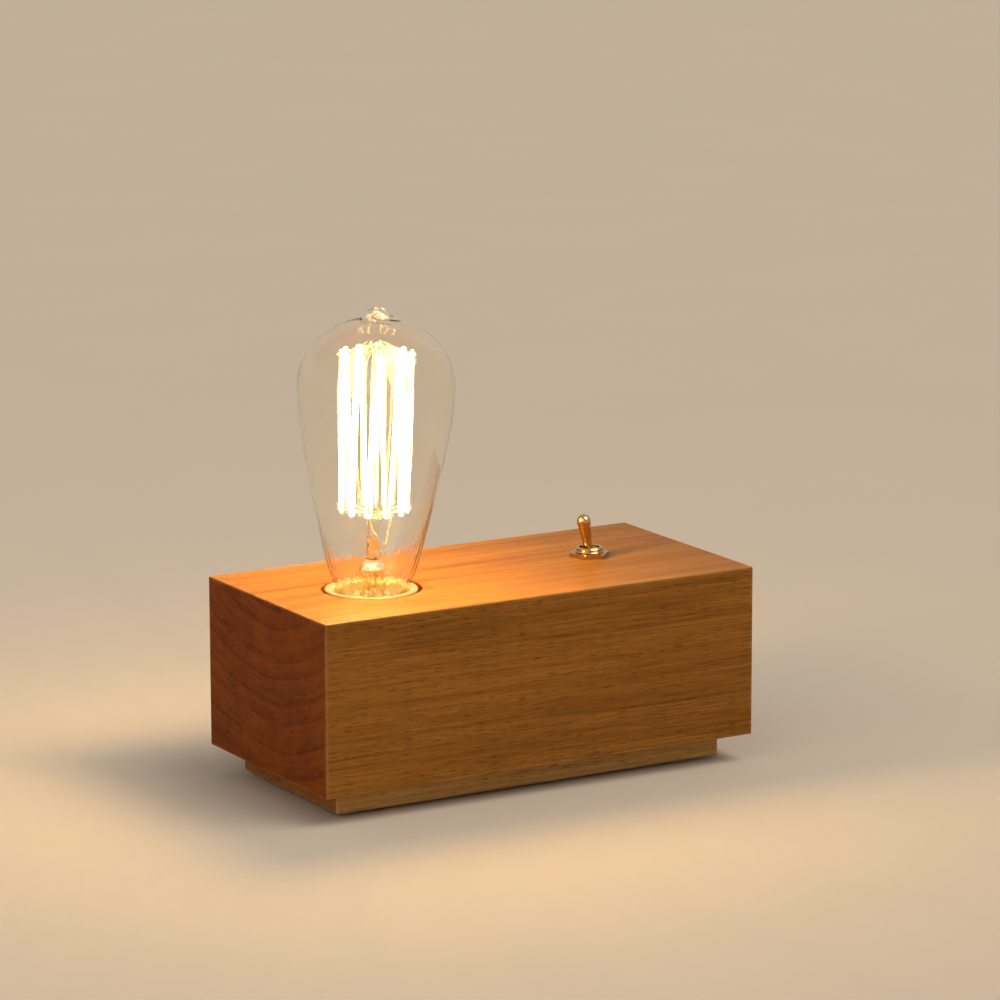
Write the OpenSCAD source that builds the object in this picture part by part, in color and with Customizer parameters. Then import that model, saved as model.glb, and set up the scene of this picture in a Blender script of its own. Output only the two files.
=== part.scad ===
// Bare bulb table lamp: a solid timber block with a lampholder sunk in its top, a clear
// pear-shaped filament lamp and a toggle switch. Millimetres, Z up. The origin is the centre
// of the resting face, +X runs along the block from the lamp to the switch, -Y is the front.

/* [Block] */
// Length of the timber block
block_l = 200; // [190:1:240]
// Depth of the timber block, front to back
block_w = 100; // [96:1:130]
// Height of the timber block
block_h = 71; // [66:1:100]
// Softening of the block's edges
block_edge = 0.7; // [0.3:0.1:2]

/* [Base plate and feet] */
// How far the plate stands in from the block, all round
plate_inset = 10; // [6:0.5:10]
// Thickness of the plate
plate_t = 10; // [8:0.5:16]
// Chamfer of the plate's edges
plate_edge = 1; // [0.3:0.1:2]
// Height of the feet
foot_t = 1.5; // [1:0.1:4]
// Diameter of the feet
foot_d = 14; // [8:0.5:16]
// Foot centres, in from the plate's ends
foot_in_x = 22; // [20:1:40]
// Foot centres, in from the plate's long sides
foot_in_y = 11; // [10:0.5:20]
// Shank diameter of the plate's screws
plate_screw_d = 4; // [3:0.5:5]
// Length of the plate's screws
plate_screw_l = 28; // [20:1:34]
// Plate screws, in from the block's long sides
plate_screw_in = 17; // [16:0.5:22]

/* [Cavity] */
// Timber left above the cavity
roof_t = 31; // [28:0.5:33]
// Width of the cavity, front to back
cavity_w = 72; // [68:1:74]
// Corner radius of the cavity
cavity_r = 6; // [3:0.5:8]

/* [Lampholder] */
// Its axis, from the block's left end
socket_in = 47; // [44:0.5:54]
// Its axis, behind the middle of the block (minus is towards the front)
socket_y = -2.5; // [-4:0.5:4]
// Clearance round the porcelain in the block's top
socket_clear = 1.5; // [0.5:0.1:2.5]
// Outer diameter of the porcelain
socket_d = 38; // [37:0.5:40]
// Diameter of its mouth
mouth_d = 30.8; // [30:0.1:31.6]
// Depth of the mouth, down to the screw shell
mouth_depth = 12; // [10:0.5:12.5]
// Thickness of the porcelain floor
socket_floor = 9; // [7:0.5:11]
// Thickness of the fixing ears
ear_t = 8; // [6:0.5:9]
// Distance of each ear's screw from the axis
ear_reach = 25; // [24:0.5:26]
// Diameter of the ear screws
ear_screw_d = 3.8; // [3:0.1:4.5]

/* [Bulb] */
// Largest diameter of the glass
bulb_d = 64; // [58:0.5:70]
// Height of the glass tip above the block
bulb_top = 114.6; // [105:0.1:125]
// Height of the glass's widest place above the block
belly_z = 83; // [76:0.5:88]
// Diameter of the glass neck
neck_d = 26.4; // [25.4:0.1:26.8]
// Thickness of the glass
glass_t = 0.8; // [0.6:0.1:1.2]
// Rim of the cap, below the top of the block
rim_depth = 4.5; // [3:0.1:6]
// Height of the cap, from its rim to the contact's tip
cap_h = 25; // [24:0.5:27]
// Height of the cap's plain collar
collar_h = 6; // [5:0.5:6.5]
// Mean diameter of the cap's thread
thread_d = 25.1; // [24.8:0.1:25.3]
// Depth of the thread, from crest to root
thread_depth = 1.14; // [0.8:0.02:1.2]
// Rise of the thread in one turn
thread_pitch = 3.629; // [3.4:0.001:3.8]

/* [Filament] */
// Bends at the top of the cage
bends = 11; // [7:1:13]
// Thickness of the coiled filament
filament_d = 1.1; // [0.5:0.1:1.3]
// Radius of the cage at its top
cage_top_r = 14.4; // [13:0.2:18]
// Radius of the cage at its foot
cage_foot_r = 13.6; // [12:0.2:16]
// Top of the cage, below the glass tip
cage_top_in = 17.6; // [16:0.1:26]
// Height of the cage's foot above the block
cage_foot_z = 32; // [28:0.5:40]
// Turn of the cage about the lamp's axis
cage_turn = 44; // [0:1:359]
// Diameter of the anchor wires
anchor_d = 0.5; // [0.3:0.05:0.7]
// Diameter of the lead-in wires
lead_d = 0.8; // [0.5:0.1:1]

/* [Glass stem] */
// Diameter of the stem tube
stem_d = 9.7; // [8:0.1:11]
// Height of the stem tube's shoulder above the block
stem_z = 10.5; // [8:0.5:12]
// Diameter of the thick rod
rod_d = 4.7; // [4:0.1:5]
// Diameter of the thin rod
thin_rod_d = 2.9; // [2:0.1:3.4]
// Diameter of the buttons that hold the anchors
button_d = 5.6; // [5.2:0.1:6.4]

/* [Switch] */
// Its axis, from the block's right end
switch_in = 47.5; // [46:0.5:54]
// Its axis, behind the middle of the block
switch_y = 1.5; // [-3:0.5:3]
// Timber left under the nut
web_t = 4; // [3:0.2:5]
// Diameter of the threaded bushing
bushing_d = 11.8; // [11.4:0.1:12]
// Height of the bushing above the nut
bushing_show = 2.2; // [2:0.2:4]
// Width of the hex nuts across their flats
nut_af = 14.8; // [14:0.1:16]
// Thickness of the hex nuts
nut_t = 2; // [1.8:0.1:2.6]
// Turn of the upper nut
nut_turn = 42; // [0:1:59]
// Lean of the lever to either side
lever_lean = 10.5; // [8:0.5:11]
// Length of the lever from its pivot to the middle of its end ball
lever_l = 15; // [12:0.1:18]
// Diameter of the end ball
knob_d = 5.9; // [5:0.1:7]
// Diameter of the lever's neck
lever_d = 3.8; // [3:0.1:4]
// Length of the switch housing
housing_l = 28; // [27:0.5:29]
// Width of the switch housing
housing_w = 16; // [15:0.5:18]

/* [Wiring] */
// Diameter of the insulated wires
wire_d = 2.2; // [1.8:0.1:2.4]
// Lead inlet, to the right of the middle of the block
inlet_x = 25; // [15:1:45]
// Lead inlet, above the underside of the block
inlet_z = 14; // [11:0.5:20]
// Bore of the inlet bush
inlet_bore = 7; // [5:0.5:8]
// Wall of the inlet bush
bush_wall = 1.3; // [1:0.1:2]

/* [Clearances] */
// Between pieces that move past each other
gap = 0.3; // [0.25:0.05:0.4]
// Round a piece that is set into another
fit = 0.1; // [0.05:0.01:0.15]
// Round a pin or shaft that turns in its bore
running = 0.05; // [0.03:0.01:0.08]

/* [Hidden] */
$fn = 64;

// Heights of the stacked timber
block_z = foot_t + plate_t;
top_z = block_z + block_h;

// Lampholder and bulb, measured from the block's top face
socket_x = socket_in - block_l / 2;
socket_r = socket_d / 2;
mouth_r = mouth_d / 2;
lip_out_r = 0.8;
lip_in_r = 1.6;
tip_z = -rim_depth - cap_h;
wave = thread_depth / 2;
collar_out = neck_d / 2 + 0.8;
cap_sheet = 0.4;
collar_z = -rim_depth - collar_h;
cap_inner = thread_d / 2 - wave - cap_sheet;
cap_foot_z = tip_z + 3.3;
cap_foot_r = 9.5;
plug_top = tip_z + 5.9;
plug_foot = tip_z + 1.2;
plug_foot_r = 5.4;
plug_r = cap_foot_r - cap_sheet - 0.2;
contact_r = 4.6;
contact_rim = tip_z + 0.9;
contact_stem_r = 1.9;
contact_stem_top = plug_top - 0.5;
thread_top = collar_z - 1;
thread_foot = tip_z + 5.5;
shell_clear = 0.25;
shell_mid = thread_d / 2 + shell_clear;
shell_out = shell_mid + wave + 0.65;
shell_top = -mouth_depth - 0.5;
spring_t = 0.5;
spring_h = 7.2;
floor_z = tip_z - gap - spring_h;
socket_foot = floor_z - socket_floor;
ring_t = 0.8;
ring_in = 7.4;
lower_r = shell_out + fit + 2.3;
ear_r = 6.5;
ear_z = -roof_t;
ear_screw_bite = 11;
shell_terminal_r = 9.8;
rivet_d = 3.2;
rivet_head_d = 4;
rivet_head_t = 0.8;

// Glass, measured from the block's top face
neck_r = neck_d / 2;
bulb_r = bulb_d / 2;
waist = [neck_r + 6.4, 13];
neck_z = -rim_depth - 1.5;
pip_r = 8.2;
pip_z = bulb_top - 4.7;
pip_slope = 0.233;
glass_foot = -rim_depth - collar_h + 0.5;
stem_wall = 0.8;
pinch_z = stem_z + 6;
rod_foot = pinch_z + 1;
cage_top_z = bulb_top - cage_top_in;
foot_button_z = cage_foot_z - 1.3;
top_button_z = cage_top_z + 2;
button_h = 3;

// Filament cage: the bends at the foot and the two ends share one turn with the top bends
bend_step = 360 / (bends + 0.5);
filament_r = filament_d / 2;
bend_r = filament_r + anchor_d / 2 + 0.15;

// Switch, measured from the block's top face
switch_x = block_l / 2 - switch_in;
bushing_r = bushing_d / 2;
bushing_top = nut_t + bushing_show;
bushing_bore = 4.3;
thread_groove = 0.35;
groove_pitch = 0.8;
washer_t = 0.8;
frame_t = 0.8;
frame_z = -web_t - washer_t - nut_t - gap;
frame_foot = frame_z - frame_t;
pivot_z = bushing_top - 3.8;
ball_r = bushing_bore - 0.4;
shank_r = 2;
shank_l = 12.5;
spring_top = -5;
plunger_top = -9.2;
plunger_l = 17.4;
plunger_r = 1.35;
pin_r = 0.8;
rocker_t = 0.8;
rocker_tilt = 8;
rocker_l = 8;
rocker_w = 5;
fulcrum_r = 1;
fulcrum_gap = 0.3;
level_top = pivot_z - plunger_l * cos(lever_lean) - 0.7;
fulcrum_z = level_top - rocker_t - fulcrum_gap - fulcrum_r;
button_x = 6.6;
moving_button_t = 0.7;
fixed_button_z = level_top - rocker_t - moving_button_t - gap;
housing_floor_z = fulcrum_z - 1.3;
housing_floor_t = 2;
housing_foot = housing_floor_z - housing_floor_t;
housing_wall = 1.6;
pocket_l = housing_l + 10;
pocket_w = max(housing_w + 10, nut_af / cos(30) + 6);
pocket_r = 4;
stem_r = 1.3;

// Cavity, from the lampholder's left to the switch pocket's right
cavity_x0 = socket_x - socket_r - 6;
cavity_x1 = switch_x + pocket_l / 2 + 0.5;
plate_x = block_l / 2 - plate_inset;
plate_y = block_w / 2 - plate_inset;
screw_x0 = (cavity_x0 - plate_x) / 2;
screw_x1 = (cavity_x1 + plate_x) / 2;
screw_y = block_w / 2 - plate_screw_in;
csk_d = plate_screw_d * 2;
csk_h = plate_screw_d / 2;

// Wire terminals: a brass block with a bore for the wire and a clamp screw from below
term_l = 7;
term_w = 6;
term_h = 7;
term_bore = wire_d + 0.6;
clamp_d = 2.5;
clamp_head_d = 4;
clamp_head_t = 1.6;
small_term_l = 5;

// Two-way terminal strip, under the roof of the cavity
strip_x = (socket_x + switch_x) / 2 + 2;
strip_y = -13;
strip_l = 20;
strip_w = 17;
strip_h = 12;
strip_pitch = 8;
insert_d = 5;
insert_bore = wire_d + 0.8;
insert_z = -roof_t - strip_h / 2;
fixing_d = 2.8;
fixing_l = 20;

// Inlet bush in the rear face
bush_flange_t = 1.5;
bush_flange_d = inlet_bore + 2 * bush_wall + 5;
rear_wall = (block_w - cavity_w) / 2;

// ---- shared shapes ----

function unit(v) = v / norm(v);
function lerp(a, b, t) = a + (b - a) * t;

// Points of a cubic Bezier curve through four control points, n steps, its first point left out
function bezier(p, n) = [for (i = [1:n]) let (t = i / n, s = 1 - t)
    p[0] * s * s * s + p[1] * 3 * s * s * t + p[2] * 3 * s * t * t + p[3] * t * t * t];

// Points of an arc in a plane
function arc(c, r, a0, a1, n) = [for (i = [0:n]) let (a = lerp(a0, a1, i / n)) c + r * [cos(a), sin(a)]];

// A plane path moved sideways by d, to the left of its direction
function sideways(p, d) = [for (i = [0:len(p) - 1])
    let (a = p[max(i - 1, 0)], b = p[min(i + 1, len(p) - 1)], t = unit(b - a)) p[i] + d * [-t[1], t[0]]];

// The closed outline of a strip of thickness t along a plane path
function ribbon(p, t) = concat(sideways(p, t / 2), [for (i = [len(p) - 1:-1:0]) sideways(p, -t / 2)[i]]);

// A smooth path through chosen points
function smooth(p, n) = concat([for (i = [0:len(p) - 2], k = [0:n - 1])
    let (a = p[max(i - 1, 0)], b = p[i], c = p[i + 1], d = p[min(i + 2, len(p) - 1)], t = k / n)
    ((b * 2) + (c - a) * t + (a * 2 - b * 5 + c * 4 - d) * t * t + (b * 3 - a - c * 3 + d) * t * t * t) / 2],
    [p[len(p) - 1]]);

// Directions of a path at its points, and a side direction that turns as little as it can
function headings(p) = [for (i = [0:len(p) - 1])
    i == 0 ? unit(p[1] - p[0]) : i == len(p) - 1 ? unit(p[i] - p[i - 1])
    : unit(unit(p[i + 1] - p[i]) + unit(p[i] - p[i - 1]))];
function square_to(u, t) = unit(u - (u * t) * t);
function any_side(t) = square_to(abs(t[2]) < 0.8 ? [0, 0, 1] : [1, 0, 0], t);
function sides(t) = [for (i = 0, u = any_side(t[0]); i < len(t); i = i + 1,
    u = square_to(u, t[min(i, len(t) - 1)])) u];

// A round bar of radius r swept along a path
module bar(p, r, n = 6) {
    t = headings(p);
    u = sides(t);
    last = len(p) - 1;
    points = [for (i = [0:last], k = [0:n - 1]) let (a = 360 * k / n)
        p[i] + r * (cos(a) * u[i] + sin(a) * cross(t[i], u[i]))];
    walls = [for (i = [0:last - 1], k = [0:n - 1])
        let (a = i * n + k, b = i * n + (k + 1) % n)
        each [[a, a + n, b + n], [a, b + n, b]]];
    ends = [for (k = [1:n - 2]) each [[0, k, k + 1],
        [last * n, last * n + k + 1, last * n + k]]];
    polyhedron(points, concat(walls, ends));
}

// A turned ring whose stations are [height, radius, wave]; a station with a wave follows the thread
module threaded_ring(stations, n = 40) {
    count = len(stations);
    points = [for (s = stations, k = [0:n - 1])
        let (a = 360 * k / n, r = s[1] + s[2] * cos(360 * s[0] / thread_pitch - a))
        [r * cos(a), r * sin(a), s[0]]];
    faces = [for (i = [0:count - 1], k = [0:n - 1])
        let (j = (i + 1) % count, m = (k + 1) % n)
        each [[i * n + k, i * n + m, j * n + m], [i * n + k, j * n + m, j * n + k]]];
    polyhedron(points, faces);
}

// Stations down the thread from z0 to z1, with mean radius r and wave w. Over half a pitch at
// either end the wave fades to the root, side -1, or to the crest, side +1
function thread_stations(z0, z1, r, w, side) = let (n = ceil(abs(z0 - z1) / 0.55), fade = thread_pitch / 2)
    [for (i = [0:n]) let (z = lerp(z0, z1, i / n), d = min(abs(z - z0), abs(z - z1)), f = min(1, d / fade))
        [z, r + side * w * (1 - f), w * f]];

// Outline of a rectangle with cut corners, centred
function cut_corners(l, w, c) = [
    [l / 2, w / 2 - c], [l / 2 - c, w / 2], [c - l / 2, w / 2], [-l / 2, w / 2 - c],
    [-l / 2, c - w / 2], [c - l / 2, -w / 2], [l / 2 - c, -w / 2], [l / 2, c - w / 2]];

// A box with all its edges chamfered, standing on its base
module softened_box(l, w, h, c) {
    intersection() {
        linear_extrude(h) polygon(cut_corners(l, w, c));
        translate([0, w / 2, h / 2]) rotate([90, 0, 0]) linear_extrude(w) polygon(cut_corners(l, h, c));
        translate([-l / 2, 0, h / 2]) rotate([90, 0, 90]) linear_extrude(l) polygon(cut_corners(w, h, c));
    }
}

// A rectangle with round corners, from corner a to corner b
module round_slot(a, b, r) {
    translate([a[0] + r, a[1]]) square([b[0] - a[0] - 2 * r, b[1] - a[1]]);
    translate([a[0], a[1] + r]) square([b[0] - a[0], b[1] - a[1] - 2 * r]);
    for (x = [a[0] + r, b[0] - r], y = [a[1] + r, b[1] - r]) translate([x, y]) circle(r);
}

// A hex nut with its outer corners turned off, standing on its base
module hex_nut(af, t, bore) {
    corner = af / cos(30) / 2;
    intersection() {
        difference() {
            cylinder(h = t, r = corner, $fn = 6);
            translate([0, 0, -1]) cylinder(h = t + 2, r = bore);
        }
        rotate_extrude() polygon([[0, 0], [corner - 0.5, 0], [corner, 0.3], [corner, t - 0.5], [af / 2, t], [0, t]]);
    }
}

// A clamp screw that enters from below: its head hangs under z = 0, slotted
module clamp_screw(d, l, head_d, head_t) {
    difference() {
        union() {
            translate([0, 0, -head_t]) cylinder(h = head_t, d = head_d);
            cylinder(h = l, d = d);
        }
        translate([-head_d / 2 - 1, -0.3, -head_t - 1]) cube([head_d + 2, 0.6, 1.6]);
    }
}

// A wood screw that enters from below: pan head under z = 0, pointed end above
module wood_screw(d, l, head_d, head_t) {
    difference() {
        rotate_extrude() polygon([[0, -head_t], [head_d / 2 - 0.6, -head_t], [head_d / 2, -head_t + 0.6],
            [head_d / 2, 0], [d / 2, 0], [d / 2, l - d], [0, l]]);
        translate([-head_d / 2 - 1, -0.4, -head_t - 1]) cube([head_d + 2, 0.8, 1.9]);
    }
}

// A brass terminal block under a riveted stem, its bore along X, or along Y when turned
module terminal(l, w, h, stem_h, stem_radius, head_t, head_radius) {
    difference() {
        translate([-l / 2, -w / 2, -h]) cube([l, w, h]);
        translate([-l / 2 - 1, 0, -h / 2]) rotate([0, 90, 0]) cylinder(h = l + 2, d = term_bore);
        translate([0, 0, -h - 1]) cylinder(h = h / 2 + 1, d = clamp_d + 2 * running);
    }
    cylinder(h = stem_h, r = stem_radius);
    if (head_t > 0)
        translate([0, 0, stem_h]) cylinder(h = head_t, r = head_radius);
}

module at_socket() {
    translate([socket_x, socket_y, top_z]) children();
}

module at_switch() {
    translate([switch_x, switch_y, top_z]) children();
}

module at_pivot() {
    at_switch() translate([0, 0, pivot_z]) rotate([0, -lever_lean, 0]) children();
}

module at_plate_screws() {
    for (x = [screw_x0, screw_x1], y = [-screw_y, screw_y]) translate([x, y, foot_t]) children();
}

module at_ear_screws() {
    for (s = [-1, 1]) translate([socket_x, socket_y + s * ear_reach, top_z + ear_z - ear_t]) children();
}

// ---- timber ----

module wood_block() {
    color("peru") difference() {
        translate([0, 0, block_z]) softened_box(block_l, block_w, block_h, block_edge);
        translate([0, 0, block_z - 1]) linear_extrude(block_h - roof_t + 1)
            round_slot([cavity_x0, -cavity_w / 2], [cavity_x1, cavity_w / 2], cavity_r);
        at_socket() {
            translate([0, 0, -roof_t - 1]) cylinder(h = roof_t + 2, r = socket_r + socket_clear);
            translate([0, 0, -0.5]) cylinder(h = 1, r1 = socket_r + socket_clear, r2 = socket_r + socket_clear + 1);
        }
        at_switch() {
            translate([0, 0, -roof_t - 1]) linear_extrude(roof_t + 1 - web_t)
                round_slot([-pocket_l / 2, -pocket_w / 2], [pocket_l / 2, pocket_w / 2], pocket_r);
            translate([0, 0, -web_t - 1]) cylinder(h = web_t + 2, r = bushing_r + fit);
        }
        at_plate_screws() translate([0, 0, plate_t - 1])
            cylinder(h = plate_screw_l - plate_t + 3, d = plate_screw_d + 2 * fit);
        at_ear_screws() translate([0, 0, ear_t - 1]) cylinder(h = ear_screw_bite + 3, d = ear_screw_d + 2 * fit);
        translate([strip_x, strip_y, top_z - roof_t - 1])
            cylinder(h = fixing_l - strip_h + 3, d = fixing_d + 2 * fit);
        translate([inlet_x, 0, block_z + inlet_z]) rotate([-90, 0, 0]) {
            cylinder(h = block_w / 2 + 1, d = inlet_bore + 2 * bush_wall + 2 * fit);
            translate([0, 0, block_w / 2 - bush_flange_t]) cylinder(h = 5, d = bush_flange_d + 2 * fit);
        }
    }
}

module base_plate() {
    color("burlywood") difference() {
        translate([0, 0, foot_t]) softened_box(2 * plate_x, 2 * plate_y, plate_t, plate_edge);
        at_plate_screws() {
            translate([0, 0, -1]) cylinder(h = plate_t + 2, d = plate_screw_d + 2 * fit);
            translate([0, 0, -0.01]) cylinder(h = csk_h + 2 * fit, d1 = csk_d + 2 * fit, d2 = plate_screw_d + 2 * fit);
        }
    }
}

module feet() {
    color("dimgray") for (x = [foot_in_x - plate_x, plate_x - foot_in_x], y = [foot_in_y - plate_y, plate_y - foot_in_y])
        translate([x, y, 0]) rotate_extrude()
            polygon([[0, 0], [foot_d / 2 - 0.3, 0], [foot_d / 2, 0.3], [foot_d / 2, foot_t], [0, foot_t]]);
}

module plate_screws() {
    color("silver") at_plate_screws() difference() {
        rotate_extrude() polygon([[0, 0.1], [csk_d / 2, 0.1], [plate_screw_d / 2, csk_h + 0.1],
            [plate_screw_d / 2, plate_screw_l - plate_screw_d], [0, plate_screw_l]]);
        for (a = [0, 90]) rotate([0, 0, a]) translate([-csk_d / 3, -0.5, -1]) cube([csk_d / 1.5, 1, 2.2]);
    }
}

// ---- lampholder ----

module socket_body() {
    bore_r = shell_out + fit;
    color("ivory") at_socket() difference() {
        union() {
            rotate_extrude() polygon(concat(
                [[0, socket_foot], [lower_r, socket_foot], [lower_r, ear_z - ear_t], [socket_r, ear_z - ear_t + 2]],
                arc([socket_r - lip_out_r, -lip_out_r], lip_out_r, 0, 90, 8),
                arc([mouth_r + lip_in_r, -lip_in_r], lip_in_r, 90, 180, 12),
                [[mouth_r, -mouth_depth], [bore_r, -mouth_depth], [bore_r, floor_z], [0, floor_z]]));
            for (s = [-1, 1]) difference() {
                translate([0, 0, ear_z - ear_t]) linear_extrude(ear_t) {
                    translate([0, s * ear_reach]) circle(ear_r);
                    translate([-ear_r, min(0, s * ear_reach)]) square([2 * ear_r, ear_reach]);
                }
                translate([0, 0, ear_z - ear_t - 1]) cylinder(h = ear_t + 2, r = bore_r + 1);
            }
        }
        for (y = [0, -shell_terminal_r]) translate([0, y, socket_foot - 1])
            cylinder(h = socket_floor + 2, d = rivet_d + 2 * fit);
        for (s = [-1, 1]) translate([0, s * ear_reach, ear_z - ear_t - 1])
            cylinder(h = ear_t + 2, d = ear_screw_d + 2 * fit);
    }
}

module socket_screws() {
    color("silver") at_ear_screws() wood_screw(ear_screw_d, ear_t + ear_screw_bite, ear_screw_d * 1.8, 2.5);
}

// The rolled sheet shell that the bulb's cap screws into
module socket_shell() {
    foot = floor_z + ring_t;
    color("goldenrod") at_socket() threaded_ring(concat(
        thread_stations(shell_top, foot, shell_mid, wave, 1),
        [[foot, shell_out, 0], [shell_top, shell_out, 0]]));
}

// Brass ring under the shell, which the neutral terminal is riveted to
module socket_ring() {
    color("gold") at_socket() difference() {
        translate([0, 0, floor_z]) cylinder(h = ring_t, r = shell_out);
        translate([0, 0, floor_z - 1]) cylinder(h = ring_t + 2, r = ring_in);
        translate([0, -shell_terminal_r, floor_z - 1]) cylinder(h = ring_t + 2, d = rivet_d + 2 * fit);
    }
}

// Bent spring strip that presses on the bulb's centre contact
module socket_contact() {
    bend = (spring_h - spring_t) / 2;
    foot = floor_z + spring_t / 2;
    path = concat([[-3, foot], [1, foot]], arc([3.4, foot + bend], bend, -90, 90, 10),
        [[0, foot + 2 * bend], [-3, foot + 2 * bend], [-4.4, foot + 2 * bend - 0.8]]);
    color("gold") at_socket() difference() {
        translate([-3.2, 0, 0]) rotate([90, 0, 90]) linear_extrude(6.4) polygon(ribbon(path, spring_t));
        translate([0, 0, floor_z - 1]) cylinder(h = 2, d = rivet_d + 2 * fit);
    }
}

module socket_terminals() {
    color("gold") at_socket() translate([0, 0, socket_foot]) {
        terminal(term_l, term_w, term_h, socket_floor + spring_t, rivet_d / 2, rivet_head_t, rivet_head_d / 2);
        translate([0, -shell_terminal_r, 0])
            terminal(term_l, term_w, term_h, socket_floor + ring_t, rivet_d / 2, rivet_head_t, rivet_head_d / 2);
    }
}

module socket_clamp_screws() {
    color("silver") at_socket() for (y = [0, -shell_terminal_r])
        translate([0, y, socket_foot - term_h])
            clamp_screw(clamp_d, term_h / 2 - wire_d / 2 - fit, clamp_head_d, clamp_head_t);
}

// ---- bulb ----

// Outer line of the glass from the neck's foot to the root of the sealed tip
function glass_line() = concat(
    [[neck_r, glass_foot], [neck_r, neck_z]],
    bezier([[neck_r, neck_z], [neck_r, neck_z + 4], [waist[0] - 1.7, waist[1] - 8], waist], 8),
    bezier([waist, [lerp(waist[0], bulb_r, 0.52), lerp(waist[1], belly_z, 0.43)],
        [bulb_r, lerp(waist[1], belly_z, 0.77)], [bulb_r, belly_z]], 14),
    bezier([[bulb_r, belly_z], [bulb_r, lerp(belly_z, pip_z, 0.58)],
        [pip_r + 11, pip_z - 11 * pip_slope], [pip_r, pip_z]], 12));

module bulb_glass() {
    line = glass_line();
    inner = sideways(line, glass_t);
    color("lightcyan", 0.35) at_socket() rotate_extrude($fn = 72) polygon(concat(line,
        bezier([[pip_r, pip_z], [pip_r - 2, pip_z + 0.5], [pip_r - 3.2, bulb_top], [0, bulb_top]], 8),
        [[0, pip_z + 0.5 - glass_t]],
        [for (i = [len(inner) - 1:-1:0]) inner[i]]));
}

// Flared tube, flat pinch, rod and the two buttons that the anchors are set in
module bulb_stem() {
    r = stem_d / 2;
    flare_r = neck_r - glass_t - 0.2;
    rod_r = rod_d / 2;
    thin_r = thin_rod_d / 2;
    button_r = button_d / 2;
    top_r = button_r - 0.4;
    color("lightcyan", 0.5) at_socket() rotate_extrude($fn = 48) polygon(concat(
        [[flare_r - stem_wall, glass_foot], [flare_r, glass_foot]],
        bezier([[flare_r, glass_foot], [flare_r - 1, glass_foot + 4], [r, glass_foot + 4], [r, glass_foot + 9]], 8),
        [[r, stem_z - 2]],
        bezier([[r, stem_z - 2], [r, stem_z + 0.5], [rod_r + 0.6, stem_z + 1], [rod_r + 0.4, stem_z + 3]], 6),
        [[rod_r + 0.5, pinch_z], [rod_r, rod_foot]],
        [[rod_r, foot_button_z - button_h / 2]],
        bezier([[rod_r, foot_button_z - button_h / 2], [button_r + 0.3, foot_button_z - button_h / 2],
            [button_r + 0.3, foot_button_z + button_h / 2], [thin_r, foot_button_z + button_h / 2]], 8),
        [[thin_r, top_button_z - button_h / 2]],
        bezier([[thin_r, top_button_z - button_h / 2], [top_r + 0.3, top_button_z - button_h / 2],
            [top_r + 0.3, top_button_z + button_h / 2], [0, top_button_z + button_h / 2]], 8),
        [[0, stem_z - 0.5], [r - stem_wall - 1, stem_z - 1.2], [r - stem_wall, stem_z - 2.6]],
        [[r - stem_wall, glass_foot + 9]],
        bezier([[r - stem_wall, glass_foot + 9], [r - stem_wall, glass_foot + 4],
            [flare_r - stem_wall - 1, glass_foot + 4], [flare_r - stem_wall, glass_foot + 1]], 8)));
}

// A point on the cage at an angle, radius and height
function polar(a, r, z) = [r * cos(a), r * sin(a), z];
function top_bend(i) = cage_turn + (i + 0.5) * bend_step;
function foot_bend(i) = cage_turn + i * bend_step;

// A half turn of filament over an anchor, side +1 above it and -1 below it
function half_turn(a, r, z, side) = [for (k = [0:4]) let (b = 180 - 45 * k)
    polar(a, r, z) + bend_r * cos(b) * [-sin(a), cos(a), 0] + [0, 0, side * bend_r * sin(b)]];
function cage_path() = concat(
    [polar(foot_bend(0), cage_foot_r, cage_foot_z)],
    [for (i = [0:bends - 1]) each concat(half_turn(top_bend(i), cage_top_r, cage_top_z - bend_r, 1),
        i < bends - 1 ? half_turn(foot_bend(i + 1), cage_foot_r, cage_foot_z + bend_r, -1) : [])],
    [polar(foot_bend(bends), cage_foot_r, cage_foot_z)]);

module bulb_filament() {
    color("lightyellow") at_socket() bar(cage_path(), filament_r, 6);
}

// Anchor wires, from the two buttons out to the bends
module bulb_supports() {
    r = anchor_d / 2;
    tip = filament_r + 0.5;
    color("gray") at_socket() {
        for (i = [0:bends - 1]) let (a = top_bend(i), z = cage_top_z - bend_r)
            bar([polar(a, button_d / 2 - 0.2, top_button_z), polar(a, cage_top_r * 0.5, lerp(z, top_button_z, 0.75)),
                polar(a, cage_top_r - tip - 0.6, z), polar(a, cage_top_r + tip, z),
                polar(a, cage_top_r + tip + 0.4, z - 0.8)], r);
        for (i = [1:bends - 1]) let (a = foot_bend(i), z = cage_foot_z + bend_r)
            bar([polar(a, button_d / 2 + 0.2, foot_button_z), polar(a, cage_foot_r * 0.5, lerp(z, foot_button_z, 0.6)),
                polar(a, cage_foot_r - tip - 0.6, z), polar(a, cage_foot_r + tip, z),
                polar(a, cage_foot_r + tip + 0.4, z + 0.8)], r);
    }
}

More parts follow.
